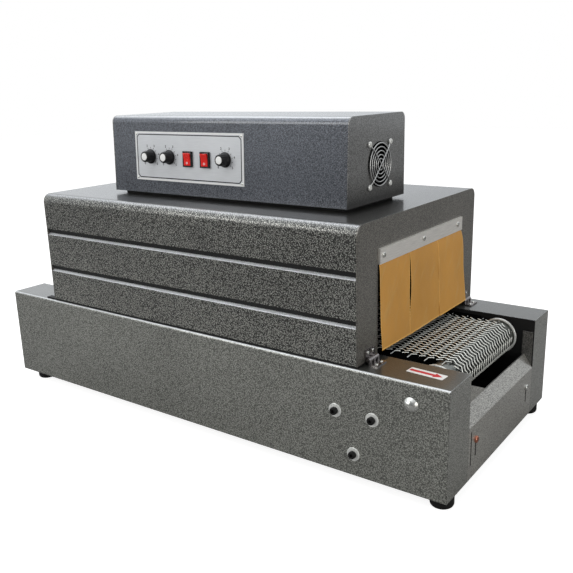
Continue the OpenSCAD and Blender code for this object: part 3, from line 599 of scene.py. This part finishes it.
def bend_wire(bm, ring, rod_x, steps):
    """Bends the wire's open end half a turn round a rod."""
    bent = bmesh.ops.spin(bm, geom=ring + ring_edges(bm, ring), cent=(rod_x, 0, 0), axis=(0, 1, 0), dvec=(0, 0, 0),
                          angle=math.pi, steps=steps, use_merge=False)
    return only_verts(bent["geom_last"])


def wind_row(hand, sides, bend_steps):
    """A spiral across the belt, wound to one hand; its low faces and those that don't look up get the second finish,
    as painted shade.
    """
    coil = bmesh.new()
    start = Matrix.Translation((-row_l / 2, 0, lift)) @ Matrix.Rotation(math.pi / 2, 4, "Y")
    section = Matrix.Diagonal((wire_thick, wire_wide, 1.0, 1.0))
    ring = bmesh.ops.create_circle(coil, segments=sides, radius=1.0, matrix=start @ section)["verts"]
    ring = draw_wire(coil, ring, (row_l, hand * coil_w / 2, 0))
    ring = bend_wire(coil, ring, row_l / 2, bend_steps)
    ring = draw_wire(coil, ring, (-row_l, hand * coil_w / 2, 0))
    bend_wire(coil, ring, -row_l / 2, bend_steps)
    row = bmesh.new()
    first_y = belt_low.y + wire_wide if hand > 0 else belt_high.y - coil_w / 2 + wire_wide
    for number in range(coils - 1):
        stamp(row, coil, Matrix.Translation((0, first_y + hand * number * coil_w, 0)))
    coil.free()
    bmesh.ops.remove_doubles(row, verts=row.verts[:], dist=0.01 * MM)
    bmesh.ops.holes_fill(row, edges=[e for e in row.edges if e.is_boundary], sides=0)
    bmesh.ops.recalc_face_normals(row, faces=row.faces[:])
    # Faces low down or not looking up take the black finish: painted shade.
    for face in row.faces:
        middle = face.calc_center_median()
        face.material_index = int(middle.z < shade_below or face.normal.z < 0.1)
    return row


fine_rows = [wind_row(hand, 6, 3) for hand in (1, -1)]
plain_rows = [wind_row(hand, 4, 2) for hand in (1, -1)]
print("faces in a row:", len(fine_rows[0].faces), "near the outfeed end,", len(plain_rows[0].faces), "elsewhere")

# %% Hook the rows together
hood_end_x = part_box("outfeed_hood_end")[1].x
fine_from = hood_end_x - 30 * MM
near_rows = range(int((fine_from + axle_x) / row_l), int((2 * axle_x + math.pi * loop_r) / row_l))


def weave(name, numbers, pair):
    """A stretch of belt: rows of alternate hand, side by side along the loop."""
    bm = bmesh.new()
    for number in numbers:
        stamp(bm, pair[number % 2], on_belt((number + 0.5) * row_l))
    return make_piece(bm, name, "base", belt_wire, belt_painted_shade, slot="belt_wire", smooth=60.0, turn_out=False)


outfeed_weave = weave("belt_weave_outfeed", near_rows, fine_rows)
weave("belt_weave_tunnel", range(near_rows.start), plain_rows)
weave("belt_weave_return", range(near_rows.stop, rows), plain_rows)
for wound in fine_rows + plain_rows:
    wound.free()
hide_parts("mesh_belt")

# %% Lay the cross rods
rod_r, rod_round = 0.8 * MM, 0.5 * MM
front_out, back_out = 11.0 * MM, 4.4 * MM


def slice_at(bm, point, normal):
    """Cuts new edges into a bmesh where a plane crosses it."""
    bmesh.ops.bisect_plane(bm, geom=bm.verts[:] + bm.edges[:] + bm.faces[:], plane_co=point, plane_no=normal)


def round_edges(bm, edges, radius, segments):
    """Rounds edges over a number of segments."""
    bmesh.ops.bevel(bm, geom=edges, offset=radius, offset_type="OFFSET", segments=segments, profile=0.5,
                    affect="EDGES", material=-1)


rods, one_rod = bmesh.new(), bmesh.new()
rod_middle = (belt_low.y + belt_high.y + back_out - front_out) / 2
bmesh.ops.create_cone(one_rod, cap_ends=True, segments=8, radius1=rod_r, radius2=rod_r,
                      depth=belt_w + front_out + back_out,
                      matrix=Matrix.Translation((0, rod_middle, 0)) @ Matrix.Rotation(math.pi / 2, 4, "X"))
tips = [e for e in one_rod.edges if sum(len(f.verts) > 4 for f in e.link_faces) == 1]
round_edges(one_rod, tips, rod_round, 2)
for y in (belt_low.y, belt_high.y):
    slice_at(one_rod, (0, y, 0), (0, 1, 0))
# The rods take the black finish within the belt, as painted shade, and stay bright at their ends.
for face in one_rod.faces:
    face.material_index = int(belt_low.y < face.calc_center_median().y < belt_high.y)
for number in range(0, rows, rows_per_rod):
    stamp(rods, one_rod, on_belt(number * row_l))
one_rod.free()
make_piece(rods, "belt_cross_rods", "base", rod_steel, belt_painted_shade, slot="belt_wire")

# %% [markdown]
# ## The curtains
# Three flaps of coated cloth hang from the clamp strip at each mouth and keep the hot air in. The cloth is stiff, so
# it doesn't fall in folds: it bows outwards a little, more towards the back, and the first slit gapes halfway down.
# A cloth simulation would let it hang straight, so a fine grid is bent with a few smooth curves, and then
# given the cloth's thickness. A narrow hem along its edges is paler, where the coating is cut and folded.

# %% Hang the flaps
flap_t = 1.1 * MM
slit_wide, hem_wide = 1.5 * MM, 1.2 * MM
wave_high, ripple_high = 0.7 * MM, 0.35 * MM
corner_in, slit_close, slit_lift = 3.0 * MM, 1.8 * MM, 2.2 * MM
# For each flap: its edges, how far its lower corners stand out and how far they are drawn up, in millimetres.
flap_shapes = {"front": ((-139.4, -48.8), (4.0, 3.2), (4.0, 1.8)),
               "middle": ((-48.0, 48.5), (3.2, 8.2), (1.5, 6.0)),
               "back": ((46.0, 138.5), (9.0, 13.4), (5.7, 9.0))}


def smooth_step(t):
    t = max(0.0, min(1.0, t))
    return t * t * (3 - 2 * t)


def blend(pair, share):
    return (pair[0] + (pair[1] - pair[0]) * share) * MM


def hang_flap(end, place, out):
    """One flap, bent as it hangs; out is +1 where outwards is +X."""
    node = f"{end}_{place}_flap"
    low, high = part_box(node)
    sides, reaches, rises = flap_shapes[place]
    width, drop = (sides[1] - sides[0]) * MM, high.z - low.z
    bm = bmesh.new()
    bmesh.ops.create_grid(bm, x_segments=28, y_segments=40, size=0.5)
    side, foot = 0.5 - hem_wide / width, 0.5 - hem_wide / drop
    for cut, axis in ((-side, (1, 0, 0)), (side, (1, 0, 0)), (-foot, (0, 1, 0))):
        slice_at(bm, cut * Vector(axis), axis)
    for face in bm.faces:
        middle = face.calc_center_median()
        face.material_index = int(abs(middle.x) > side or middle.y < -foot)
    for v in bm.verts:
        across, down = v.co.x + 0.5, 0.5 - v.co.y
        y = blend(sides, across)
        bow = 0.42 * (1 - math.exp(-down / 0.09)) + 0.58 * down ** 2.2
        x = blend(reaches, across) * bow
        x += wave_high * math.sin(9.0 * across + 2.0 * down + reaches[0]) * math.sin(math.pi * down) ** 2
        x += ripple_high * math.sin(23.0 * across - 11.0 * down) * smooth_step(2.5 * down) * (1 - 0.6 * down)
        gape = math.sin(math.pi * min(1.0, down / 0.86)) ** 1.2
        if place == "front":
            far, near = smooth_step(4.0 * (across - 0.75)), smooth_step(1.0 - 4.0 * across)
            y += corner_in * near * down
            y -= far * (0.6 * slit_wide * gape - slit_close * smooth_step(6.0 * (down - 0.8)))
        if place == "middle":
            near = smooth_step(1.0 - 4.0 * across)
            y += 0.4 * slit_wide * gape * near
            x += slit_lift * gape * near
        v.co = ((low.x + high.x) / 2 + out * x, y, high.z - drop * down + blend(rises, across) * down ** 2)
    bmesh.ops.solidify(bm, geom=bm.faces[:], thickness=flap_t)
    bm.normal_update()
    for face in bm.faces:
        if abs(face.normal.x) < 0.5:
            face.material_index = 1
    piece = make_piece(bm, f"{end}_{place}_cloth", f"{end}_curtain", tan_cloth, cut_edge, slot="tan_cloth",
                       smooth=60.0)
    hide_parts(node)


for place in flap_shapes:
    for end, out in ends.items():
        hang_flap(end, place, out)

# %% [markdown]
# ## Screws
# The strips, hinges and end covers are held by pan-head screws with a cross recess. A head starts as a disc that is
# raised and rounded at its rim, four cuts lay out the cross on its top, and the cross is pressed in.

# %% Turn a pan-head screw
def raised_disc(radius, height, sides, rounding, steps):
    """A disc that stands on its flat side, with its upper rim rounded."""
    bm = bmesh.new()
    bmesh.ops.create_circle(bm, cap_ends=True, segments=sides, radius=radius)
    crown = only_verts(bmesh.ops.extrude_face_region(bm, geom=bm.faces[:])["geom"])
    bmesh.ops.translate(bm, vec=(0, 0, height), verts=crown)
    round_edges(bm, ring_edges(bm, crown), rounding, steps)
    return bm


def pan_screw(radius, height):
    """A cross-recess screw head."""
    bm = raised_disc(radius, height, 24, min(0.34 * radius, 0.8 * height), 4)
    slot = 0.24 * radius
    for axis in (Vector((1, 0, 0)), Vector((0, 1, 0))):
        for side in (-0.5, 0.5):
            slice_at(bm, axis * side * slot, axis)
    cross = [f for f in bm.faces if f.calc_center_median().z > 0.98 * height
             and min(abs(x) for x in f.calc_center_median()[:2]) < 0.4 * slot]
    bmesh.ops.inset_region(bm, faces=cross, thickness=0.05 * radius, depth=-0.45 * height)
    return bm


screw_rise, front_in, middle_shift, back_in = 1.0 * MM, 10 * MM, -5 * MM, 19 * MM
screw = pan_screw(4.0 * MM, 2.0 * MM)
for end, out in ends.items():
    low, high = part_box(f"{end}_clamp_strip")
    x, z = high.x if out > 0 else low.x, (low.z + high.z) / 2 + screw_rise
    strip_screws = bmesh.new()
    for number, y in enumerate((low.y + front_in, (low.y + high.y) / 2 + middle_shift, high.y - back_in)):
        stamp(strip_screws, screw, facing((x, y, z), (out, 0, 0), 0.6 * number))
    make_piece(strip_screws, f"{end}_strip_screws", "hood", zinc_steel, slot="zinc_steel")

# %% Screw down the hinges
hinge_screw = pan_screw(2.7 * MM, 1.4 * MM)
leaf_t, screw_in = 2.0 * MM, 5.0 * MM
ledge_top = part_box("base_front_channel")[1].z
for name in ("front", "back"):
    low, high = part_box(f"{name}_hinge_base_leaf")
    leaf_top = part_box(f"{name}_hinge_hood_leaf")[1].z
    base_screws, hood_screws = bmesh.new(), bmesh.new()
    for share in (0.24, 0.76):
        y = low.y + share * (high.y - low.y)
        stamp(base_screws, hinge_screw, facing((high.x - screw_in, y, ledge_top + leaf_t), (0, 0, 1), share))
        stamp(hood_screws, hinge_screw, facing((hood_end_x + leaf_t, y, leaf_top - screw_in), (1, 0, 0), 2 * share))
    make_piece(base_screws, f"{name}_hinge_base_screws", "base", zinc_steel, slot="zinc_steel")
    make_piece(hood_screws, f"{name}_hinge_hood_screws", "hood", zinc_steel, slot="zinc_steel")

# %% Round the end covers' screws
cover_screw_r = 5.0 * MM
cover_screw = pan_screw(cover_screw_r, 3.0 * MM)
for end, out in ends.items():
    low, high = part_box(f"{end}_cover_screws")
    x, z = low.x if out > 0 else high.x, (low.z + high.z) / 2
    for side, y, finish in (("front", low.y + cover_screw_r, copper_steel),
                            ("back", high.y - cover_screw_r, zinc_steel)):
        head = bmesh.new()
        stamp(head, cover_screw, facing((x, y, z), (out, 0, 0), 0.4))
        piece = make_piece(head, f"{end}_{side}_cover_screw", "base", finish, slot="zinc_steel")
        if side == "front":
            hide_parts(f"{end}_cover_screws")

# %% [markdown]
# ## Roller rims and motor bolts
# The belt's edges run along flange discs, and three black socket-head bolts on bright washers hold the drive motor
# behind the front panel. The CAD solids have them in one colour, so rims, washers and heads are turned here as
# separate pieces. The rims are a pale bright zinc, a painted highlight along the flange edges. A rim or a washer is a
# profile spun once round, where a torus could give only a round section. A head is a raised disc whose top is pressed
# in to a six-sided socket.

# %% Spin and press the shapes
def spin_profile(profile, steps=40):
    """A closed shape from an outline of (radius, height) points that starts and ends on the axis or in a ring."""
    bm = bmesh.new()
    points = [bm.verts.new((r, 0, z)) for r, z in profile]
    edges = [bm.edges.new(pair) for pair in zip(points, points[1:])]
    bmesh.ops.spin(bm, geom=points + edges, cent=(0, 0, 0), axis=(0, 0, 1), dvec=(0, 0, 0), angle=2 * math.pi,
                   steps=steps, use_merge=True)
    bmesh.ops.remove_doubles(bm, verts=bm.verts[:], dist=0.001 * MM)
    bmesh.ops.recalc_face_normals(bm, faces=bm.faces[:])
    return bm


def socket_head(radius, height):
    """A socket-head bolt's head with a six-sided recess."""
    bm = raised_disc(radius, height, 30, 0.7 * MM, 2)
    top = max(bm.faces, key=lambda f: f.calc_center_median().z)
    bmesh.ops.inset_region(bm, faces=[top], thickness=0.36 * radius)
    for v in top.verts:
        angle = math.atan2(v.co.y, v.co.x) % (math.pi / 3) - math.pi / 6
        v.co.xy = v.co.xy.normalized() * 0.46 * radius / math.cos(angle)
    bmesh.ops.inset_region(bm, faces=[top], thickness=0.02 * radius, depth=-0.55 * height)
    return bm


print("turning helpers ready")

# %% Rim the rollers
edge = 0.35 * MM
roller_low, roller_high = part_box("outfeed_roller")
flange_y = 117.8 * MM
rim_r, rim_w, rim_t = (roller_high.z - roller_low.z) / 2 + 0.3 * MM, 2.6 * MM, 3.4 * MM
inner_r = rim_r - rim_w
rim = spin_profile([(inner_r, 0), (rim_r - edge, 0), (rim_r, edge), (rim_r, rim_t - edge), (rim_r - edge, rim_t),
                    (inner_r, rim_t), (inner_r, 0)], steps=64)
rims = bmesh.new()
for x in (-axle_x, axle_x):
    for side in (-1, 1):
        stamp(rims, rim, facing((x, side * flange_y, axle_z), (0, side, 0)))
# The rims' pale zinc is a painted highlight along the flange edges.
make_piece(rims, "roller_rims", "base", bright_zinc, slot="zinc_steel")

# %% Bolt on the motor
bolt_low, bolt_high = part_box("motor_bolts")
panel_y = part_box("base_front_channel")[0].y
washer_r, bore_r, washer_t, head_r = 10.0 * MM, 4.3 * MM, 1.6 * MM, 5.5 * MM
washer = spin_profile([(bore_r, 0), (washer_r, 0), (washer_r, washer_t - edge), (washer_r - edge, washer_t),
                       (bore_r, washer_t), (bore_r, 0)])
head = socket_head(head_r, panel_y - washer_t - bolt_low.y)
bolt_places = [(bolt_low.x + washer_r, bolt_high.z - washer_r), (bolt_high.x - washer_r, bolt_high.z - washer_r),
               ((bolt_low.x + bolt_high.x) / 2, bolt_low.z + washer_r)]
washers, heads = bmesh.new(), bmesh.new()
for number, (x, z) in enumerate(bolt_places):
    stamp(washers, washer, facing((x, panel_y, z), (0, -1, 0)))
    stamp(heads, head, facing((x, panel_y - washer_t, z), (0, -1, 0), 0.5 * number))
washer_piece = make_piece(washers, "motor_bolt_washers", "base", bright_zinc, slot="zinc_steel")
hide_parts("motor_bolts")
make_piece(heads, "motor_bolt_heads", "base", black_oxide, slot="black_steel")

# %% [markdown]
# ## The control panel
# The panel is a thin silver sheet with a printed border, four rivets, three dials and two switches. Print has almost
# no thickness, and an image would be the usual way to show it, but flat shapes a few hundredths of a millimetre thick
# stay sharp from any distance and need no picture. The panel leans back a little, so everything on it is laid out
# flat, X along it and Y up it, and carried to its place by one matrix.

# %% Lay out the panel
panel_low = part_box("control_panel_plate")[0]
panel_lean, panel_t = math.radians(2.3), 1.2 * MM
on_panel = (Matrix.Translation((panel_low.x, panel_low.y + panel_t * math.cos(panel_lean), panel_low.z))
            @ Matrix.Rotation(math.pi / 2 - panel_lean, 4, "X") @ Matrix.Translation((0, 0, panel_t)))
panel_l, panel_h = 236.0 * MM, 80.5 * MM
knob_names = ("first_knob", "second_knob", "third_knob")
rocker_names = ("first_rocker", "second_rocker")


def panel_spot(node):
    """The middle of a CAD node in the panel's own flat layout."""
    low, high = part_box(node)
    return on_panel.inverted() @ ((low + high) / 2)


knob_spots = [panel_spot(name) for name in knob_names]
rocker_spots = [panel_spot(name) for name in rocker_names]
print("dials at", [(round(p.x / MM, 1), round(p.y / MM, 1)) for p in knob_spots])


def print_ink(name, tone):
    """Screen-printing ink: an even tone with slightly worn patches."""
    f = new_finish(name)
    patches = f.noise(f.place(), 260.0, detail=3.0)
    colour = f.mix(f.spread(patches, 0.5, 0.8, 0.0, 0.35), tone, tuple(0.7 * c + 0.06 for c in tone))
    return f.surface(colour, f.spread(patches, 0.3, 0.7, 0.45, 0.6))


black_ink = print_ink("black_ink", (0.006, 0.006, 0.007))
white_ink = print_ink("white_ink", (0.80, 0.80, 0.80))
red_ink = print_ink("red_ink", (0.62, 0.02, 0.03))

# %% Print the border
ink_t = 0.08 * MM


def raise_faces(bm, height):
    """Makes flat faces that look up into a closed plate."""
    raised = bmesh.ops.extrude_face_region(bm, geom=bm.faces[:])["geom"]
    bmesh.ops.translate(bm, vec=(0, 0, height), verts=only_verts(raised))
    bmesh.ops.recalc_face_normals(bm, faces=bm.faces[:])


def cut_plate(length, height, corner, segments=1):
    """A flat rectangle with cut or rounded corners, centred on the origin."""
    bm = bmesh.new()
    bmesh.ops.create_grid(bm, x_segments=1, y_segments=1, size=0.5)
    bmesh.ops.scale(bm, vec=(length, height, 1.0), verts=bm.verts[:])
    bmesh.ops.bevel(bm, geom=bm.verts[:], offset=corner, offset_type="OFFSET", segments=segments, profile=0.5,
                    affect="VERTICES", material=-1)
    return bm


def printed_frame(length, height, corner, line):
    """A thin line round a rectangle with cut corners."""
    bm = cut_plate(length, height, corner)
    ring = bmesh.ops.inset_region(bm, faces=bm.faces[:], thickness=line, use_boundary=True,
                                 use_even_offset=True)["faces"]
    bmesh.ops.delete(bm, geom=[f for f in bm.faces if f not in ring], context="FACES")
    raise_faces(bm, ink_t)
    return bm


panel_middle = on_panel @ Matrix.Translation((panel_l / 2, panel_h / 2, 0))
for name, margin, corner, line, ink in (("panel_border_line", 8.0 * MM, 5.0 * MM, 1.6 * MM, black_ink),
                                        ("panel_border_band", 0.6 * MM, 0.8 * MM, 2.6 * MM, white_ink)):
    border = printed_frame(panel_l - margin, panel_h - margin, corner, line)
    bmesh.ops.transform(border, matrix=panel_middle, verts=border.verts[:])
    make_piece(border, name, "hood", ink)

# %% Set the rivets
rivet = spin_profile([(0, 0), (1.9 * MM, 0), (1.75 * MM, 0.35 * MM), (1.2 * MM, 0.75 * MM), (0, 0.95 * MM)], steps=20)
rivets, rivet_in = bmesh.new(), 4.0 * MM
for x in (rivet_in, panel_l - rivet_in):
    for y in (rivet_in, panel_h - rivet_in):
        stamp(rivets, rivet, on_panel @ Matrix.Translation((x, y, 0)))
make_piece(rivets, "panel_rivets", "hood", zinc_steel, slot="zinc_steel")

# %% Mark the dials
bold = 0.12 * MM


def put_text(bm, text, height, place):
    """Adds a letter or number to a bmesh as thin print, at a place."""
    curve = bpy.data.curves.new("mark", "FONT")
    curve.body, curve.size, curve.align_x, curve.align_y = text, height, "CENTER", "CENTER"
    curve.extrude, curve.resolution_u, curve.offset = ink_t / 2, 3, bold
    holder = bpy.data.objects.new("mark", curve)
    scene.collection.objects.link(holder)
    mesh = bpy.data.meshes.new_from_object(holder.evaluated_get(bpy.context.evaluated_depsgraph_get()))
    bpy.data.objects.remove(holder)
    bpy.data.curves.remove(curve)
    mesh.transform(place)
    bm.from_mesh(mesh)
    bpy.data.meshes.remove(mesh)


tick_w, tick_l, tick_out = 0.8 * MM, 2.2 * MM, 14.4 * MM
number_h, number_out = 5.2 * MM, 18.8 * MM
dial_marks, tick = bmesh.new(), bmesh.new()
bmesh.ops.create_cube(tick, size=1.0)
bmesh.ops.scale(tick, vec=(tick_w, tick_l, ink_t), verts=tick.verts[:])
dial_steps, dial_start, dial_sweep = 10, math.radians(220), math.radians(260)
for spot in knob_spots:
    centre = on_panel @ Matrix.Translation((spot.x, spot.y, ink_t / 2))
    for number in range(dial_steps + 1):
        angle = dial_start - dial_sweep * number / dial_steps
        stamp(dial_marks, tick, centre @ Matrix.Rotation(angle - math.pi / 2, 4, "Z")
              @ Matrix.Translation((0, tick_out, 0)))
        if number % 2 == 0:
            spoke = Vector((math.cos(angle), math.sin(angle), 0))
            put_text(dial_marks, str(number // 2), number_h, centre @ Matrix.Translation(number_out * spoke))
tick.free()
make_piece(dial_marks, "dial_marks", "hood", black_ink)

# %% [markdown]
# ## Knobs and rockers
# Each knob is a black fluted grip on a skirt, with a white cap let into its top. Its outline is spun once round, and
# every fourth column of vertices along the grip is pulled in for a flute. A rocker is a block whose top falls from
# both ends to the middle, with all its edges rounded, so that it catches the light as moulded plastic does.

# %% Turn the knobs
skirt_r, grip_r, cap_r = 12.0 * MM, 9.2 * MM, 6.3 * MM
knob_columns, flute_every, flute_pull = 56, 4, 0.925


def turn_knob(name, spot):
    """A knob on the panel, in place of its CAD solid."""
    foot, skirt_t, top = 0.4 * MM, 3.0 * MM, 15.9 * MM
    skirt = [(0, foot), (skirt_r - 0.3 * MM, foot), (skirt_r, foot + 0.4 * MM), (skirt_r, 1.6 * MM),
             (skirt_r - 0.6 * MM, 2.1 * MM)]
    grip = [(grip_r + 0.7 * MM, skirt_t), (grip_r + 0.15 * MM, skirt_t + 0.5 * MM), (grip_r, skirt_t + 1.2 * MM),
            (grip_r - 0.35 * MM, top - 1.4 * MM), (grip_r - 0.8 * MM, top - 0.5 * MM), (grip_r - 1.7 * MM, top)]
    cap = [(cap_r + 0.1 * MM, top), (cap_r, top - 0.5 * MM), (cap_r - 0.2 * MM, top - 0.5 * MM),
           (cap_r - 0.5 * MM, top + 0.15 * MM), (cap_r * 0.5, top + 0.4 * MM), (0, top + 0.5 * MM)]
    bm = spin_profile(skirt + grip + cap, steps=knob_columns)
    for v in bm.verts:
        column = round(math.atan2(v.co.y, v.co.x) / (2 * math.pi) * knob_columns)
        if column % flute_every == 0 and skirt_t + MM < v.co.z < top - 0.3 * MM and v.co.xy.length > cap_r + MM:
            v.co.xy *= flute_pull
    for face in bm.faces:
        middle = face.calc_center_median()
        face.material_index = int(middle.xy.length < cap_r - 0.15 * MM and middle.z > top - 0.5 * MM)
    bmesh.ops.transform(bm, matrix=on_panel @ Matrix.Translation((spot.x, spot.y, 0)), verts=bm.verts[:])
    piece = make_piece(bm, f"{name}_turned", name, black_plastic, white_plastic, slot="black_plastic", smooth=40.0)
    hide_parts(name)


for name, spot in zip(knob_names, knob_spots):
    turn_knob(name, spot)

# %% Mould the rockers
rocker_w, rocker_l, rocker_pivot, rocker_lean = 14.0 * MM, 20.0 * MM, 3.0 * MM, math.radians(8)
rocker_slope = math.tan(rocker_lean)
rocker_rise, rocker_under, rocker_round, mark_h = 0.9 * MM, 2.2 * MM, 0.6 * MM, 5.0 * MM


def rocker_height(y):
    """How high the rocker's hollow top stands over its pivot."""
    half = rocker_l / 2
    return rocker_rise + (abs(y) / half) ** 1.3 * half * rocker_slope


def mould_rocker(name, spot):
    """A rocker with a hollow top, leaning as switched on, and the mark on its lower half."""
    bm = bmesh.new()
    bmesh.ops.create_grid(bm, x_segments=4, y_segments=10, size=0.5)
    bmesh.ops.scale(bm, vec=(rocker_w, rocker_l, 1.0), verts=bm.verts[:])
    for v in bm.verts:
        v.co.z = rocker_height(v.co.y)
    for v in only_verts(bmesh.ops.extrude_face_region(bm, geom=bm.faces[:])["geom"]):
        v.co.z = abs(v.co.y) * rocker_slope - rocker_under
    bmesh.ops.recalc_face_normals(bm, faces=bm.faces[:])
    sharp = [e for e in bm.edges if e.calc_face_angle(0.0) > math.radians(50)]
    round_edges(bm, sharp, rocker_round, 3)
    place = on_panel @ Matrix.Translation((spot.x, spot.y, rocker_pivot)) @ Matrix.Rotation(rocker_lean, 4, "X")
    bmesh.ops.transform(bm, matrix=place, verts=bm.verts[:])
    piece = make_piece(bm, f"{name}_moulded", name, red_plastic, slot="red_plastic", smooth=50.0)
    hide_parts(name)
    mark = bmesh.new()
    mark_y = -0.3 * rocker_l
    put_text(mark, "O", mark_h, place @ Matrix.Translation((0, mark_y, rocker_height(mark_y) + 0.02 * MM))
             @ Matrix.Rotation(-1.1 * rocker_lean, 4, "X"))
    make_piece(mark, f"{name}_mark", name, white_ink)


for name, spot in zip(rocker_names, rocker_spots):
    mould_rocker(name, spot)

# %% [markdown]
# ## Fan guard screws and the ledge label
# The wire guard in front of the fan is held by four round-headed screws, and a small white sticker with a red arrow
# shows the belt's running direction on the front ledge. The sticker is as thin as print, so it is two flat shapes.

# %% Fix the guard
fan_end_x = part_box("control_box_fan_end")[1].x
guard_low, guard_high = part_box("fan_guard")
guard_screw = pan_screw(4.4 * MM, 2.0 * MM)
guard_middle_y, guard_middle_z = (guard_low.y + guard_high.y) / 2, (guard_low.z + guard_high.z) / 2
guard_reach, guard_t = 62.0 * MM / 2, 1.6 * MM
guard_screws = bmesh.new()
for y in (-1, 1):
    for z in (-1, 1):
        place = (fan_end_x + guard_t, guard_middle_y + y * guard_reach, guard_middle_z + z * guard_reach)
        stamp(guard_screws, guard_screw, facing(place, (1, 0, 0), 0.3 * y + z))
make_piece(guard_screws, "fan_guard_screws", "hood", bright_zinc, slot="zinc_steel")

# %% Stick on the label
label_x, label_y, label_turn = 399.6 * MM, -159.7 * MM, math.radians(-4)
label_l, label_w, label_corner, label_t = 54.0 * MM, 17.0 * MM, 1.5 * MM, 0.15 * MM
shaft_l, shaft_w, shaft_x, tip_r, tip_x = 36.0 * MM, 6.0 * MM, -7.0 * MM, 8.0 * MM, 15.0 * MM
label_place = Matrix.Translation((label_x, label_y, ledge_top)) @ Matrix.Rotation(label_turn, 4, "Z")
sticker = cut_plate(label_l, label_w, label_corner, segments=4)
raise_faces(sticker, label_t)
bmesh.ops.transform(sticker, matrix=label_place, verts=sticker.verts[:])
make_piece(sticker, "ledge_label", "base", white_plastic)

arrow = bmesh.new()
bmesh.ops.create_grid(arrow, x_segments=1, y_segments=1, size=0.5)
bmesh.ops.scale(arrow, vec=(shaft_l, shaft_w, 1.0), verts=arrow.verts[:])
bmesh.ops.translate(arrow, vec=(shaft_x, 0, 0), verts=arrow.verts[:])
bmesh.ops.create_circle(arrow, cap_ends=True, segments=3, radius=tip_r,
                        matrix=Matrix.Translation((tip_x, 0, 0)) @ Matrix.Rotation(-math.pi / 2, 4, "Z"))
raise_faces(arrow, ink_t)
bmesh.ops.transform(arrow, matrix=label_place @ Matrix.Translation((0, 0, label_t)), verts=arrow.verts[:])
make_piece(arrow, "ledge_label_arrow", "base", red_ink)

# %% Keep the boxes and finish
low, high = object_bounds()
print("visual box in mm:", [[round(x / MM, 1) for x in corner] for corner in (low, high)])
